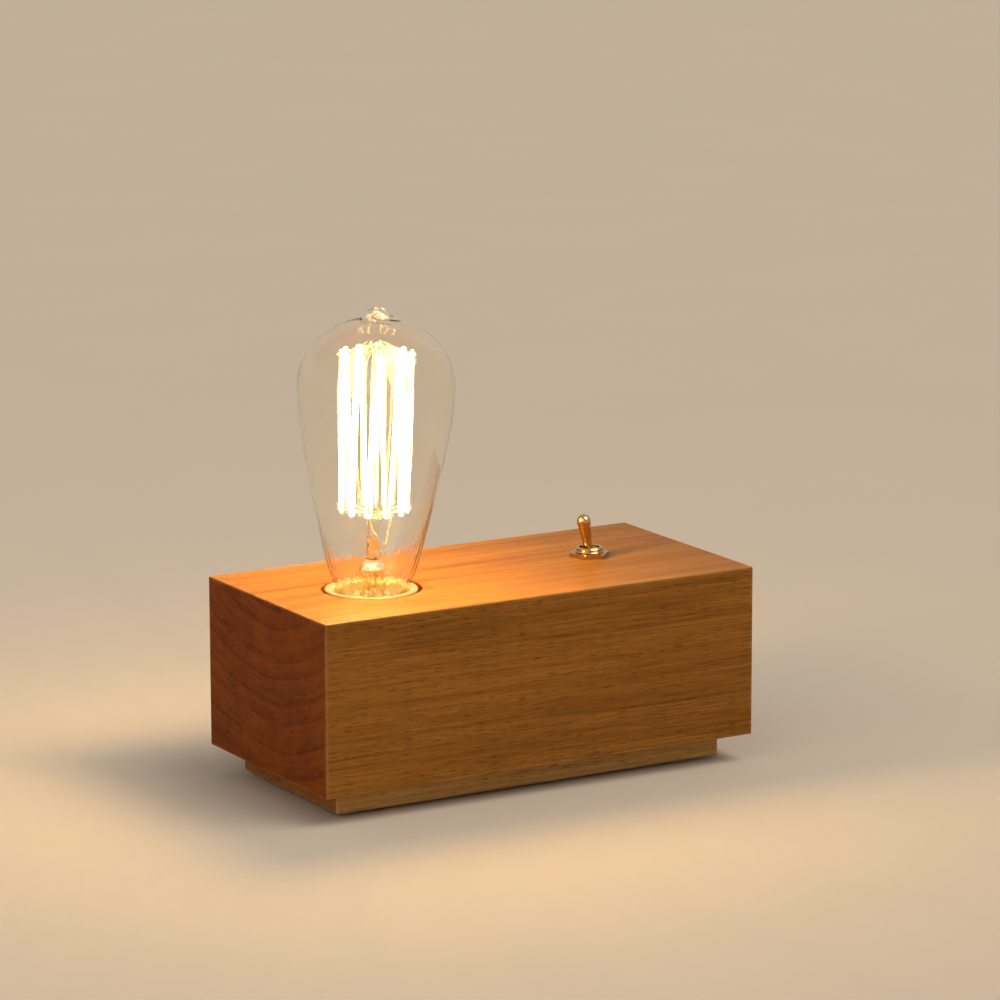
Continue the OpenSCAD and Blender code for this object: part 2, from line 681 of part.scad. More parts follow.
// Lead-in wires: above the pinch to the filament's ends, below it to the cap and the contact
module bulb_leads() {
    r = lead_d / 2;
    middle = cage_turn - bend_step / 4;
    color("gray") at_socket() {
        for (s = [-1, 1]) let (a = s > 0 ? foot_bend(0) : foot_bend(bends))
            bar(smooth([polar(middle + s * 60, rod_d / 2 + 1, pinch_z - 0.8),
                polar(middle + s * 50, rod_d / 2 + 3, pinch_z + 2.5),
                polar(a + s * 8, cage_foot_r * 0.75, lerp(pinch_z, cage_foot_z, 0.5)),
                polar(a, cage_foot_r, cage_foot_z - 4),
                polar(a, cage_foot_r, cage_foot_z - 0.2)], 3), r);
        bar(smooth([[1.2, 0, stem_z - 3], [1.2, 0, 0], [0.8, 0, glass_foot - 4], [0.8, 0, plug_top + 0.2]], 3), r);
        bar(smooth([[-1.2, 0, stem_z - 3], [-1.2, 0, 0], [-3, 0, collar_z - 2], [-8, 0, collar_z - 4],
            [wave + cap_sheet + 0.6 - thread_d / 2, 0, collar_z - 4.4]], 3), r);
    }
}

// Cap of rolled sheet: plain collar round the neck, screw thread, turned-in foot
module bulb_cap() {
    color("silver") at_socket() threaded_ring(concat(
        [[collar_z + cap_sheet, collar_out - cap_sheet, 0], [-rim_depth, collar_out - cap_sheet, 0],
            [-rim_depth, collar_out, 0], [collar_z, collar_out, 0]],
        thread_stations(thread_top, thread_foot, thread_d / 2, wave, -1),
        [[cap_foot_z, cap_foot_r, 0], [cap_foot_z, cap_foot_r - cap_sheet, 0],
            [thread_foot, cap_inner, 0], [thread_top, cap_inner, 0]]));
}

// Black glass plug that keeps the centre contact off the cap
module bulb_insulator() {
    hole = contact_stem_r + running;
    color([0.08, 0.06, 0.1]) at_socket() rotate_extrude() polygon([
        [hole, plug_top], [cap_inner - 1, plug_top], [cap_inner - 1, plug_top - 0.8],
        [plug_r, cap_foot_z + 0.3], [plug_r, cap_foot_z - 0.1],
        [lerp(plug_foot_r, plug_r, 0.63), lerp(plug_foot, cap_foot_z, 0.38)],
        [plug_foot_r, plug_foot], [hole, plug_foot]]);
}

// Solder contact in the middle of the cap
module bulb_contact() {
    color("lightgray") at_socket() rotate_extrude() polygon(concat([[0, tip_z]],
        bezier([[0, tip_z], [contact_r / 2, tip_z], [contact_r, lerp(tip_z, contact_rim, 0.33)],
            [contact_r, contact_rim]], 5),
        [[contact_stem_r, contact_rim], [contact_stem_r, contact_stem_top], [0, contact_stem_top]]));
}

// ---- switch ----

// Half outline of the bushing's outside, grooved as its thread is
function bushing_line() = let (n = floor((bushing_top - frame_foot - frame_t - 1) / groove_pitch))
    [for (i = [0:n - 1]) let (z = frame_foot + frame_t + 0.5 + i * groove_pitch)
        each [[bushing_r, z], [bushing_r - thread_groove, z + groove_pitch / 2]]];

// Steel top plate with the threaded bushing and two tabs folded down over the housing
module switch_frame() {
    tab_w = 8;
    tab_x = housing_l / 2 + fit;
    color("silver") at_switch() difference() {
        union() {
            rotate_extrude() polygon(concat(
                [[bushing_bore, frame_foot], [bushing_r, frame_foot]], bushing_line(),
                [[bushing_r, bushing_top - 0.5], [bushing_r - 0.5, bushing_top], [bushing_bore + 0.3, bushing_top],
                    [bushing_bore, bushing_top - 0.3]]));
            translate([-tab_x - frame_t, -housing_w / 2, frame_foot]) difference() {
                cube([2 * (tab_x + frame_t), housing_w, frame_t]);
                translate([tab_x + frame_t, housing_w / 2, -1]) cylinder(h = frame_t + 2, r = bushing_bore);
            }
            for (s = [0, 1]) mirror([s, 0, 0]) {
                translate([tab_x, -tab_w / 2, housing_foot - fit]) cube([frame_t, tab_w, frame_foot - housing_foot + fit + 0.1]);
                translate([tab_x - 2, -tab_w / 2, housing_foot - fit - frame_t]) cube([2 + frame_t, tab_w, frame_t]);
            }
        }
        translate([0, 0, pivot_z]) rotate([90, 0, 0]) cylinder(h = bushing_d + 2, r = pin_r + running, center = true);
    }
}

module switch_housing() {
    inner_l = housing_l - 2 * housing_wall;
    inner_w = housing_w - 2 * housing_wall;
    color("saddlebrown") at_switch() difference() {
        translate([-housing_l / 2, -housing_w / 2, housing_foot])
            cube([housing_l, housing_w, frame_foot - housing_foot]);
        translate([-inner_l / 2, -inner_w / 2, housing_floor_z])
            cube([inner_l, inner_w, frame_foot - housing_floor_z + 1]);
        for (x = [0, button_x]) translate([x, 0, housing_foot - 1]) cylinder(h = housing_floor_t + 2, r = stem_r + fit);
    }
}

module switch_nut() {
    color("silver") at_switch() rotate([0, 0, nut_turn]) hex_nut(nut_af, nut_t, bushing_r + fit);
}

module switch_lower_nut() {
    color("silver") at_switch() translate([0, 0, -web_t - washer_t - nut_t]) hex_nut(nut_af, nut_t, bushing_r + fit);
}

// Lock washer with inner teeth, between the lower nut and the timber
module switch_washer() {
    teeth = 12;
    color("gainsboro") at_switch() translate([0, 0, -web_t - washer_t]) difference() {
        cylinder(h = washer_t, r = bushing_r + 2.9);
        translate([0, 0, -1]) cylinder(h = washer_t + 2, r = bushing_r + fit);
        for (i = [0:teeth - 1]) rotate([0, 0, i * 360 / teeth])
            translate([bushing_r - 0.5, -0.7, -1]) cube([1.7, 1.4, washer_t + 2]);
    }
}

// Bat lever with its ball, and below the ball a shank bored for the spring and plunger
module switch_lever() {
    knob_r = knob_d / 2;
    neck = lever_d / 2;
    neck_h = ball_r + 1;
    swell_h = lever_l - knob_r * 0.4;
    color("silver") at_pivot() difference() {
        union() {
            rotate_extrude() polygon(concat([[0, 0], [neck, 0], [neck, neck_h]],
                bezier([[neck, neck_h], [neck, lerp(neck_h, swell_h, 0.45)],
                    [knob_r - 0.3, lerp(neck_h, swell_h, 0.7)], [knob_r * cos(20), lever_l - knob_r * sin(20)]], 8),
                arc([0, lever_l], knob_r, -15, 90, 10)));
            sphere(ball_r);
            translate([0, 0, -shank_l]) cylinder(h = shank_l, r = shank_r);
        }
        rotate([90, 0, 0]) cylinder(h = 2 * ball_r + 2, r = pin_r + running, center = true);
        translate([0, 0, -shank_l - 1]) cylinder(h = shank_l + 1 + spring_top, r = plunger_r + fit);
    }
}

module switch_pin() {
    color("gray") at_switch() translate([0, 0, pivot_z]) rotate([90, 0, 0])
        cylinder(h = 2 * (bushing_r - thread_groove - 0.3), r = pin_r, center = true);
}

module switch_plunger() {
    color("ivory") at_pivot() rotate_extrude() polygon(concat(
        [[0, plunger_top], [0, -plunger_l]],
        arc([0, plunger_r - plunger_l], plunger_r, -90, 0, 8),
        [[plunger_r, plunger_top]]));
}

// Compression spring behind the plunger
module switch_spring() {
    turns = 5;
    wire_r = 0.18;
    coil_r = plunger_r - wire_r - 0.05;
    z0 = plunger_top + wire_r + 0.02;
    z1 = spring_top - wire_r - 0.05;
    color("gray") at_pivot()
        bar([for (i = [0:turns * 8]) polar(i * 45, coil_r, lerp(z0, z1, i / (turns * 8)))], wire_r);
}

// See-saw contact strip; in this pose its right arm lies level on the fixed contact
module switch_rocker() {
    rise = fulcrum_r + fulcrum_gap;
    color("darkorange") at_switch() translate([0, 0, fulcrum_z]) rotate([0, rocker_tilt, 0]) {
        rotate([90, 0, 0]) linear_extrude(rocker_w, center = true) polygon([
            [0, rise / cos(rocker_tilt)],
            arm_point(rocker_l, rise),
            arm_point(rocker_l, rise + rocker_t),
            [0, (rise + rocker_t) / cos(rocker_tilt)],
            mirror_x(arm_point(rocker_l, rise + rocker_t)),
            mirror_x(arm_point(rocker_l, rise))]);
        rotate([0, -rocker_tilt, 0]) translate([button_x, 0, rise - moving_button_t])
            cylinder(h = moving_button_t + 0.1, r = 1.5);
    }
}

// A point on the rocker's right arm, at distance s out and height h square to the arm
function arm_point(s, h) = [s * cos(rocker_tilt) - h * sin(rocker_tilt), s * sin(rocker_tilt) + h * cos(rocker_tilt)];
function mirror_x(p) = [-p[0], p[1]];

// Fixed contacts: the fulcrum in the middle and the button under the right arm
module switch_contacts() {
    stem_h = housing_floor_t;
    color("gold") at_switch() translate([0, 0, housing_foot]) {
        for (x = [0, button_x]) translate([x, 0, 0]) rotate([0, 0, 90])
            terminal(term_l, small_term_l, term_h, stem_h, stem_r, 0, 0);
        translate([-fulcrum_r, -rocker_w / 2, stem_h]) cube([2 * fulcrum_r, rocker_w, fulcrum_z - housing_floor_z]);
        translate([0, 0, fulcrum_z - housing_foot]) rotate([90, 0, 0]) cylinder(h = rocker_w, r = fulcrum_r, center = true);
        translate([button_x, 0, stem_h]) cylinder(h = fixed_button_z - housing_floor_z, r = 1.8);
    }
}

module switch_clamp_screws() {
    color("silver") at_switch() for (x = [0, button_x]) translate([x, 0, housing_foot - term_h])
        clamp_screw(clamp_d, term_h / 2 - wire_d / 2 - fit, clamp_head_d, clamp_head_t);
}

// ---- terminal strip, wires and inlet ----

module at_strip() {
    translate([strip_x, strip_y, top_z - roof_t]) children();
}

module terminal_strip() {
    color("white") at_strip() difference() {
        translate([-strip_l / 2, -strip_w / 2, -strip_h]) cube([strip_l, strip_w, strip_h]);
        for (s = [-1, 1]) translate([0, s * strip_pitch / 2, -strip_h / 2]) {
            rotate([0, 90, 0]) cylinder(h = strip_l + 2, d = insert_d + 2 * fit, center = true);
            for (x = [-strip_l / 4, strip_l / 4]) translate([x, 0, -strip_h]) cylinder(h = strip_h, d = clamp_head_d + 0.6);
        }
        translate([0, 0, -strip_h - 1]) cylinder(h = strip_h + 2, d = fixing_d + 2 * fit);
    }
}

module strip_inserts() {
    color("gold") at_strip() for (s = [-1, 1]) translate([0, s * strip_pitch / 2, -strip_h / 2]) difference() {
        rotate([0, 90, 0]) cylinder(h = strip_l - 3, d = insert_d, center = true);
        rotate([0, 90, 0]) cylinder(h = strip_l + 2, d = insert_bore, center = true);
        for (x = [-strip_l / 4, strip_l / 4]) translate([x, 0, -insert_d]) cylinder(h = insert_d, d = clamp_d + 2 * running);
    }
}

module strip_clamp_screws() {
    color("silver") at_strip() for (s = [-1, 1], x = [-strip_l / 4, strip_l / 4])
        translate([x, s * strip_pitch / 2, -strip_h / 2 - insert_d / 2 - 0.6])
            clamp_screw(clamp_d, insert_d / 2 + 0.6 - wire_d / 2 - fit, clamp_head_d, clamp_head_t);
}

module strip_fixing() {
    color("silver") at_strip() translate([0, 0, -strip_h]) wood_screw(fixing_d, fixing_l, fixing_d * 1.7, 1.8);
}

// Ends of the wires, in the frame of the whole lamp
wire_socket_z = top_z + socket_foot - term_h / 2;
wire_switch_z = top_z + housing_foot - term_h / 2;
wire_strip_z = top_z + insert_z;
switch_front = switch_y - term_l / 2;
pocket_front = switch_y - pocket_w / 2;

// Strip to the switch's fixed contact
module wire_live() {
    y = strip_y - strip_pitch / 2;
    x = switch_x + button_x;
    color("brown") bar(smooth([
        [strip_x + strip_l / 4 - 2, y, wire_strip_z], [strip_x + strip_l / 2, y, wire_strip_z],
        [strip_x + strip_l / 2 + 8, y, wire_strip_z], [x - 16, y - 1, wire_strip_z - 2],
        [x - 3, y + 3, wire_strip_z - 1], [x, pocket_front + 3, wire_strip_z + 4],
        [x, pocket_front + 4, wire_switch_z - 3], [x, switch_front - 1.5, wire_switch_z],
        [x, switch_front + 1, wire_switch_z], [x, switch_y, wire_switch_z]], 3),
        wire_d / 2, 8);
}

// Switch's fulcrum contact to the lampholder's centre contact
module wire_switched() {
    x = switch_x;
    color("brown") bar(smooth([
        [x, switch_y, wire_switch_z], [x, switch_y + term_l / 2, wire_switch_z],
        [x, switch_y + term_l / 2 + 3, wire_switch_z - 0.5], [x - 1, switch_y + term_l / 2 + 5, wire_switch_z - 6],
        [x - 10, switch_y + 6, wire_strip_z], [strip_x + 4, switch_y + 4, wire_strip_z - 1],
        [socket_x + 24, socket_y + 2, wire_strip_z - 4], [socket_x + 17, socket_y, wire_socket_z + 2],
        [socket_x + 10, socket_y, wire_socket_z], [socket_x + term_l / 2, socket_y, wire_socket_z],
        [socket_x, socket_y, wire_socket_z]], 3), wire_d / 2, 8);
}

// Strip to the lampholder's ring
module wire_neutral() {
    y0 = strip_y + strip_pitch / 2;
    y1 = socket_y - shell_terminal_r;
    color("steelblue") bar(smooth([
        [strip_x - strip_l / 4 + 2, y0, wire_strip_z], [strip_x - strip_l / 2, y0, wire_strip_z],
        [strip_x - strip_l / 2 - 6, y0, wire_strip_z - 0.5], [socket_x + 24, lerp(y0, y1, 0.6), wire_strip_z - 5],
        [socket_x + 17, y1, wire_socket_z + 2], [socket_x + 10, y1, wire_socket_z],
        [socket_x + term_l / 2, y1, wire_socket_z], [socket_x, y1, wire_socket_z]], 3), wire_d / 2, 8);
}

// Flanged bush that the lead passes through, flush with the rear face
module inlet_bush() {
    tube_d = inlet_bore + 2 * bush_wall;
    color("dimgray") translate([inlet_x, block_w / 2, block_z + inlet_z]) rotate([90, 0, 0]) difference() {
        union() {
            cylinder(h = bush_flange_t, d = bush_flange_d);
            cylinder(h = rear_wall, d = tube_d);
        }
        translate([0, 0, -1]) cylinder(h = rear_wall + 2, d = inlet_bore);
    }
}

wood_block();
base_plate();
feet();
plate_screws();
socket_body();
socket_screws();
socket_shell();
socket_ring();
socket_contact();
socket_terminals();
socket_clamp_screws();
bulb_glass();
bulb_stem();
bulb_filament();
bulb_supports();
bulb_leads();
bulb_cap();
bulb_insulator();
bulb_contact();
switch_frame();
switch_housing();
switch_nut();
switch_washer();
switch_lower_nut();
switch_lever();
switch_pin();
switch_plunger();
switch_spring();
switch_rocker();
switch_contacts();
switch_clamp_screws();
terminal_strip();
strip_inserts();
strip_clamp_screws();
strip_fixing();
wire_live();
wire_switched();
wire_neutral();
inlet_bush();
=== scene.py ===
import math
import random

import bmesh
import bpy
from mathutils import Matrix, Vector


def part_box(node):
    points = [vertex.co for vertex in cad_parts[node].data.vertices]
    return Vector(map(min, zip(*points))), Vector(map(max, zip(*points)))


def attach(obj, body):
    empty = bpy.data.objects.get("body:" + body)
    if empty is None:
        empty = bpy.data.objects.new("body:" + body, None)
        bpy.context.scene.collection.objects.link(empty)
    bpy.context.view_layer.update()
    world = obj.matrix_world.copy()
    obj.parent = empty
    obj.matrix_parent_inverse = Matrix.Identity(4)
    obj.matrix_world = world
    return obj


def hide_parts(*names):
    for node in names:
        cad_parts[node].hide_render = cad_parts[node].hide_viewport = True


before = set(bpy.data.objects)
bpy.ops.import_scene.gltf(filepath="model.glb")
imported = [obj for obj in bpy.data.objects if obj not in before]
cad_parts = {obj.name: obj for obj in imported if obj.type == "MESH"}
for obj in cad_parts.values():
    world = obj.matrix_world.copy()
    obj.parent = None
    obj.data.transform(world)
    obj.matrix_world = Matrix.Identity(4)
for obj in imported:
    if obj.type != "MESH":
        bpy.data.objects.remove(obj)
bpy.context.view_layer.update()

# the lamp's pieces are sized in millimetres, and materials, floor and camera in metres
MM = 0.001

# ---- timber block ----
# The body of the lamp: one block of oiled hardwood sawn along the log, its edges eased by
# hand. A cavity is routed from below, with a round hole through to the lampholder and a
# pocket under the switch.
block_lo, block_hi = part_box("wood_block")
TOP = block_hi.z / MM
BLOCK_FOOT = block_lo.z / MM
BLOCK_BACK = block_hi.y / MM
EDGE_ROUND = 0.7
CREASE = 35
SOCKET = (-53.0, -2.5)
SWITCH = (52.5, 1.5)
SOCKET_HOLE_R = 20.5
SOCKET_HOLE_DEPTH = 34.0
HOLE_LIP = 0.8
LIP_FLARE = 1.2
CAVITY_X = (-78.0, 72.0)
CAVITY_Y = 36.0
CAVITY_TOP = TOP - 31.0
CAVITY_CORNER = 6.0
POCKET = (19.0, 13.0)
POCKET_CORNER = 4.0
WEB = 4.0
BUSHING_HOLE_R = 6.0
INLET = (25.0, BLOCK_FOOT + 14.0)
INLET_R = 4.9
INLET_RECESS_R = 7.4
INLET_RECESS = 1.5
PLATE_SCREWS = [(x, y) for x in (-84.0, 81.0) for y in (-33.0, 33.0)]
PLATE_HOLE_R = 2.1
PLATE_HOLE_DEPTH = 20.0
EAR_SCREWS = [(SOCKET[0], SOCKET[1] + s * 25.0) for s in (-1, 1)]
EAR_HOLE_R = 2.0
EAR_HOLE_DEPTH = 13.0
STRIP_SCREW = (1.75, -13.0)
STRIP_HOLE_R = 1.5
STRIP_HOLE_DEPTH = 10.0
# how far a cutter runs past the face that it opens
OVERRUN = 1.0


def solid(name, make, angle=CREASE):
    """A mesh object from a function that fills a bmesh in millimetres."""
    bm = bmesh.new()
    make(bm)
    bmesh.ops.recalc_face_normals(bm, faces=bm.faces)
    mesh = bpy.data.meshes.new(name)
    bmesh.ops.scale(bm, vec=(MM, MM, MM), verts=bm.verts)
    bm.to_mesh(mesh)
    bm.free()
    piece = bpy.data.objects.new(name, mesh)
    bpy.context.scene.collection.objects.link(piece)
    smooth(mesh, angle)
    return piece


def smooth(mesh, angle):
    """Smooth shading, with edges sharper than the angle kept crisp."""
    mesh.polygons.foreach_set("use_smooth", [True] * len(mesh.polygons))
    mesh.set_sharp_from_angle(angle=math.radians(angle))


def turned(bm, line, steps, centre, axis="Z", wave=None):
    """Turns a line of (radius, height) points about an axis; a radius of 0 closes to a point.

    A wave gives how far a point is moved out, from its angle, radius and height."""
    rings = []
    for r, z in line:
        ring = []
        count = 1 if r < 1e-6 else steps
        for k in range(count):
            a = math.tau * k / steps
            reach = r + (wave(a, r, z) if wave and count > 1 else 0.0)
            p = (reach * math.cos(a), reach * math.sin(a), z)
            if axis == "Y":
                p = (p[0], z, p[1])
            ring.append(bm.verts.new([c + v for c, v in zip(centre, p)]))
        rings.append(ring)
    for low, high in zip(rings, rings[1:] + rings[:1]):
        if len(low) == 1 and len(high) == 1:
            continue
        for k in range(steps):
            m = (k + 1) % steps
            if len(low) == 1:
                bm.faces.new((low[0], high[k], high[m]))
            elif len(high) == 1:
                bm.faces.new((low[k], high[0], low[m]))
            else:
                bm.faces.new((low[k], high[k], high[m], low[m]))


def arc(centre, radius, start, end, steps):
    """Points of an arc in the (radius, height) plane."""
    angles = [math.radians(start + (end - start) * i / steps) for i in range(steps + 1)]
    return [(centre[0] + radius * math.cos(a), centre[1] + radius * math.sin(a)) for a in angles]


def rounded_prism(bm, x, y, z, corner, steps=8):
    """A box between two corners in each direction, its upright edges rounded."""
    outline = []
    for cx, cy, turn in ((x[1], y[1], 0), (x[0], y[1], 90), (x[0], y[0], 180), (x[1], y[0], 270)):
        sx, sy = (1 if cx == x[1] else -1), (1 if cy == y[1] else -1)
        outline += arc((cx - sx * corner, cy - sy * corner), corner, turn, turn + 90, steps)
    low = [bm.verts.new((px, py, z[0])) for px, py in outline]
    high = [bm.verts.new((px, py, z[1])) for px, py in outline]
    bm.faces.new(low[::-1])
    bm.faces.new(high)
    for k in range(len(low)):
        m = (k + 1) % len(low)
        bm.faces.new((low[k], low[m], high[m], high[k]))


def eased_block(bm, lo, hi, edge, steps=4):
    """A box with every edge rounded to the given radius."""
    bmesh.ops.create_cube(bm, size=1.0)
    for v in bm.verts:
        v.co = Vector([lo[i] + (v.co[i] + 0.5) * (hi[i] - lo[i]) for i in range(3)])
    bmesh.ops.bevel(bm, geom=list(bm.edges), offset=edge, segments=steps, profile=0.5, affect="EDGES")


def drilled(name, radius, low, high, at, steps=20):
    """A round cutter between two heights over a place."""
    line = [(0, low), (radius, low), (radius, high), (0, high)]
    return solid(name, lambda bm: turned(bm, line, steps, at))


def carve(piece, cutters):
    """Cuts the cutters out of the piece and leaves a plain mesh with flat faces kept flat."""
    for cutter in cutters:
        cut = piece.modifiers.new("cut", "BOOLEAN")
        cut.object = cutter
        cut.operation = "DIFFERENCE"
        cut.solver = "EXACT"
    bpy.context.view_layer.update()
    worked = piece.evaluated_get(bpy.context.evaluated_depsgraph_get())
    mesh = bpy.data.meshes.new_from_object(worked)
    piece.modifiers.clear()
    piece.data = mesh
    for cutter in cutters:
        bpy.data.objects.remove(cutter)
    smooth(mesh, CREASE)
    even = piece.modifiers.new("even normals", "WEIGHTED_NORMAL")
    even.keep_sharp = True
    even.weight = 80


timber_block = solid("timber_block", lambda bm: eased_block(
    bm, [c / MM for c in block_lo], [c / MM for c in block_hi], EDGE_ROUND))
pocket_x = (SWITCH[0] - POCKET[0], SWITCH[0] + POCKET[0])
pocket_y = (SWITCH[1] - POCKET[1], SWITCH[1] + POCKET[1])
hole_line = [(0, -SOCKET_HOLE_DEPTH), (SOCKET_HOLE_R, -SOCKET_HOLE_DEPTH)]
hole_line += arc((SOCKET_HOLE_R + HOLE_LIP, -HOLE_LIP), HOLE_LIP, 180, 90, 8)
hole_line += [(SOCKET_HOLE_R + LIP_FLARE, OVERRUN), (0, OVERRUN)]
recess_y = BLOCK_BACK - INLET_RECESS
inlet_line = [(0, 0), (INLET_R, 0), (INLET_R, recess_y), (INLET_RECESS_R, recess_y)]
inlet_line += [(INLET_RECESS_R, BLOCK_BACK + OVERRUN), (0, BLOCK_BACK + OVERRUN)]
carve(timber_block, [
    solid("cavity_cut", lambda bm: rounded_prism(
        bm, CAVITY_X, (-CAVITY_Y, CAVITY_Y), (BLOCK_FOOT - OVERRUN, CAVITY_TOP), CAVITY_CORNER)),
    solid("pocket_cut", lambda bm: rounded_prism(
        bm, pocket_x, pocket_y, (CAVITY_TOP - OVERRUN, TOP - WEB), POCKET_CORNER)),
    solid("socket_cut", lambda bm: turned(bm, hole_line, 96, (*SOCKET, TOP))),
    drilled("bushing_cut", BUSHING_HOLE_R, -WEB - 2 * OVERRUN, OVERRUN, (*SWITCH, TOP), 48),
    solid("inlet_cut", lambda bm: turned(bm, inlet_line, 48, (INLET[0], 0, INLET[1]), "Y")),
    *[drilled("screw_cut", PLATE_HOLE_R, -OVERRUN, PLATE_HOLE_DEPTH, (*at, BLOCK_FOOT))
      for at in PLATE_SCREWS],
    *[drilled("ear_cut", EAR_HOLE_R, -OVERRUN, EAR_HOLE_DEPTH, (*at, CAVITY_TOP))
      for at in EAR_SCREWS],
    drilled("strip_cut", STRIP_HOLE_R, -OVERRUN, STRIP_HOLE_DEPTH, (*STRIP_SCREW, CAVITY_TOP), 16)])


def wire(tree, kind, given=None, **settings):
    """Adds a shader node, with its inputs linked or set."""
    made = tree.nodes.new("ShaderNode" + kind)
    for key, value in settings.items():
        setattr(made, key, value)
    for key, value in (given or {}).items():
        if isinstance(value, bpy.types.NodeSocket):
            tree.links.new(value, made.inputs[key])
        else:
            made.inputs[key].default_value = value
    return made


def calc(tree, operation, *values):
    """The result of a Math node."""
    return wire(tree, "Math", dict(enumerate(values)), operation=operation).outputs[0]


def vector(tree, operation, *values):
    """The result of a Vector Math node."""
    made = wire(tree, "VectorMath", dict(enumerate(values)), operation=operation)
    return made.outputs["Value" if operation == "LENGTH" else "Vector"]


def span(tree, value, low, high, to_low=0.0, to_high=1.0):
    """Maps a range of a value smoothly to another."""
    return wire(tree, "MapRange", {0: value, 1: low, 2: high, 3: to_low, 4: to_high},
                interpolation_type="SMOOTHSTEP").outputs[0]


def noise(tree, place, scale, detail=2.0, rough=0.5):
    """Noise that has one feature to each 1/scale metres, along each axis."""
    at = vector(tree, "MULTIPLY", place, scale)
    return wire(tree, "TexNoise", {"Vector": at, "Scale": 1.0, "Detail": detail, "Roughness": rough})


def blend(tree, share, a, b, mode="MIX"):
    """The colour of a Mix node."""
    return wire(tree, "Mix", {0: share, 6: a, 7: b}, data_type="RGBA", blend_type=mode).outputs[2]


def effect(name, inputs, outputs):
    """A shader node group with named inputs and outputs."""
    tree = bpy.data.node_groups.new(name, "ShaderNodeTree")
    for label, kind, value in inputs:
        made = tree.interface.new_socket(name=label, in_out="INPUT", socket_type="NodeSocket" + kind)
        made.default_value = value
    for label, kind in outputs:
        tree.interface.new_socket(name=label, in_out="OUTPUT", socket_type="NodeSocket" + kind)
    given = tree.nodes.new("NodeGroupInput").outputs
    result = tree.nodes.new("NodeGroupOutput").inputs
    return tree, given, result


def rgb(r, g, b):
    """A solid colour, as light in each of red, green and blue."""
    return (r, g, b, 1.0)


SURFACE = [("Colour", "Color"), ("Roughness", "Float"), ("Height", "Float")]

# timber figure: growth rings about the log's axis, fibre, long dark streaks and open pores
tree, given, result = effect("timber_figure", [
    ("Place", "Vector", (0, 0, 0)), ("Facing", "Vector", (0, 0, 1)),
    ("Log Y", "Float", 0.002), ("Log Z", "Float", 0.150), ("Ring Width", "Float", 0.010),
    ("Pale", "Color", rgb(0.4, 0.2, 0.06)), ("Dark", "Color", rgb(0.2, 0.08, 0.02)),
    ("Pore", "Color", rgb(0.05, 0.02, 0.006)), ("Pore Amount", "Float", 0.8),
    ("End Tint", "Color", rgb(0.75, 0.6, 0.5)), ("Roughness", "Float", 0.42)], SURFACE)
place = given["Place"]
# how far a point lies from the log's axis, which wanders a little
warp = noise(tree, place, (3, 9, 9), 2.0).outputs["Color"]
warp = vector(tree, "MULTIPLY", vector(tree, "SUBTRACT", warp, (0.5, 0.5, 0.5)), (0, 0.014, 0.014))
axis = wire(tree, "CombineXYZ", {1: given["Log Y"], 2: given["Log Z"]}).outputs[0]
off = vector(tree, "ADD", vector(tree, "SUBTRACT", place, axis), warp)
radius = vector(tree, "LENGTH", vector(tree, "MULTIPLY", off, (0.03, 1, 1)))
# growth rings of uneven width, each darkening outwards, with finer lines in them
outward = wire(tree, "CombineXYZ", {0: radius}).outputs[0]
uneven = noise(tree, outward, (70, 1, 1), 1.0).outputs[0]
phase = calc(tree, "DIVIDE", radius, given["Ring Width"])
phase = calc(tree, "MULTIPLY_ADD", uneven, 1.6, phase)
part = calc(tree, "FRACT", phase)
ring = calc(tree, "MULTIPLY", calc(tree, "POWER", part, 1.7), span(tree, part, 0.86, 1.0, 1.0, 0.0))
fine = calc(tree, "SINE", calc(tree, "MULTIPLY", phase, 21.0))
fine = calc(tree, "MULTIPLY_ADD", fine, 0.5, 0.5)
# clouds, fibres, hairs and streaks, all drawn out along the log
cloud = noise(tree, place, (6, 45, 45), 3.0).outputs[0]
fibre = noise(tree, place, (14, 900, 900), 4.0, 0.6).outputs[0]
hair = noise(tree, place, (55, 1700, 1700), 2.0, 0.6).outputs[0]
streak = span(tree, noise(tree, place, (4, 190, 190), 3.0, 0.55).outputs[0], 0.56, 0.72)
# end is 1 on the sawn ends, and filled is least on the top, where oil has closed the pores
facing = wire(tree, "SeparateXYZ", {0: given["Facing"]}).outputs
end = span(tree, calc(tree, "ABSOLUTE", facing[0]), 0.6, 0.9)
filled = span(tree, facing[2], 0.6, 0.9, 1.0, 0.35)
# rings show more on the ends, and fibre shows more on the sides
ring_share = span(tree, end, 0.0, 1.0, 0.28, 0.55)
shade = calc(tree, "MULTIPLY_ADD", ring, ring_share, calc(tree, "MULTIPLY", fine, 0.12))
shade = calc(tree, "ADD", shade, span(tree, cloud, 0.3, 0.7, -0.05, 0.30))
grain = span(tree, fibre, 0.25, 0.75, -0.22, 0.26)
grain = calc(tree, "ADD", grain, span(tree, hair, 0.25, 0.75, -0.20, 0.24))
calm = span(tree, end, 0.0, 1.0, 1.0, 0.25)
calm = calc(tree, "MULTIPLY", calm, span(tree, filled, 0.35, 1.0, 0.55, 1.0))
shade = calc(tree, "MULTIPLY_ADD", grain, calm, shade)
# faint wisps that follow the rings round on the ends
around = wire(tree, "SeparateXYZ", {0: off}).outputs
turn = calc(tree, "ARCTAN2", around[1], calc(tree, "ABSOLUTE", around[2]))
along_ring = wire(tree, "CombineXYZ", {0: radius, 1: turn}).outputs[0]
wisp = noise(tree, along_ring, (520, 9, 1), 5.0, 0.68).outputs[0]
shade = calc(tree, "MULTIPLY_ADD", span(tree, wisp, 0.3, 0.7, -0.20, 0.24), end, shade)
shade = calc(tree, "ADD", shade, calc(tree, "MULTIPLY", streak, 0.35))
shade = wire(tree, "Clamp", {0: shade}).outputs[0]
body = blend(tree, shade, given["Pale"], given["Dark"])
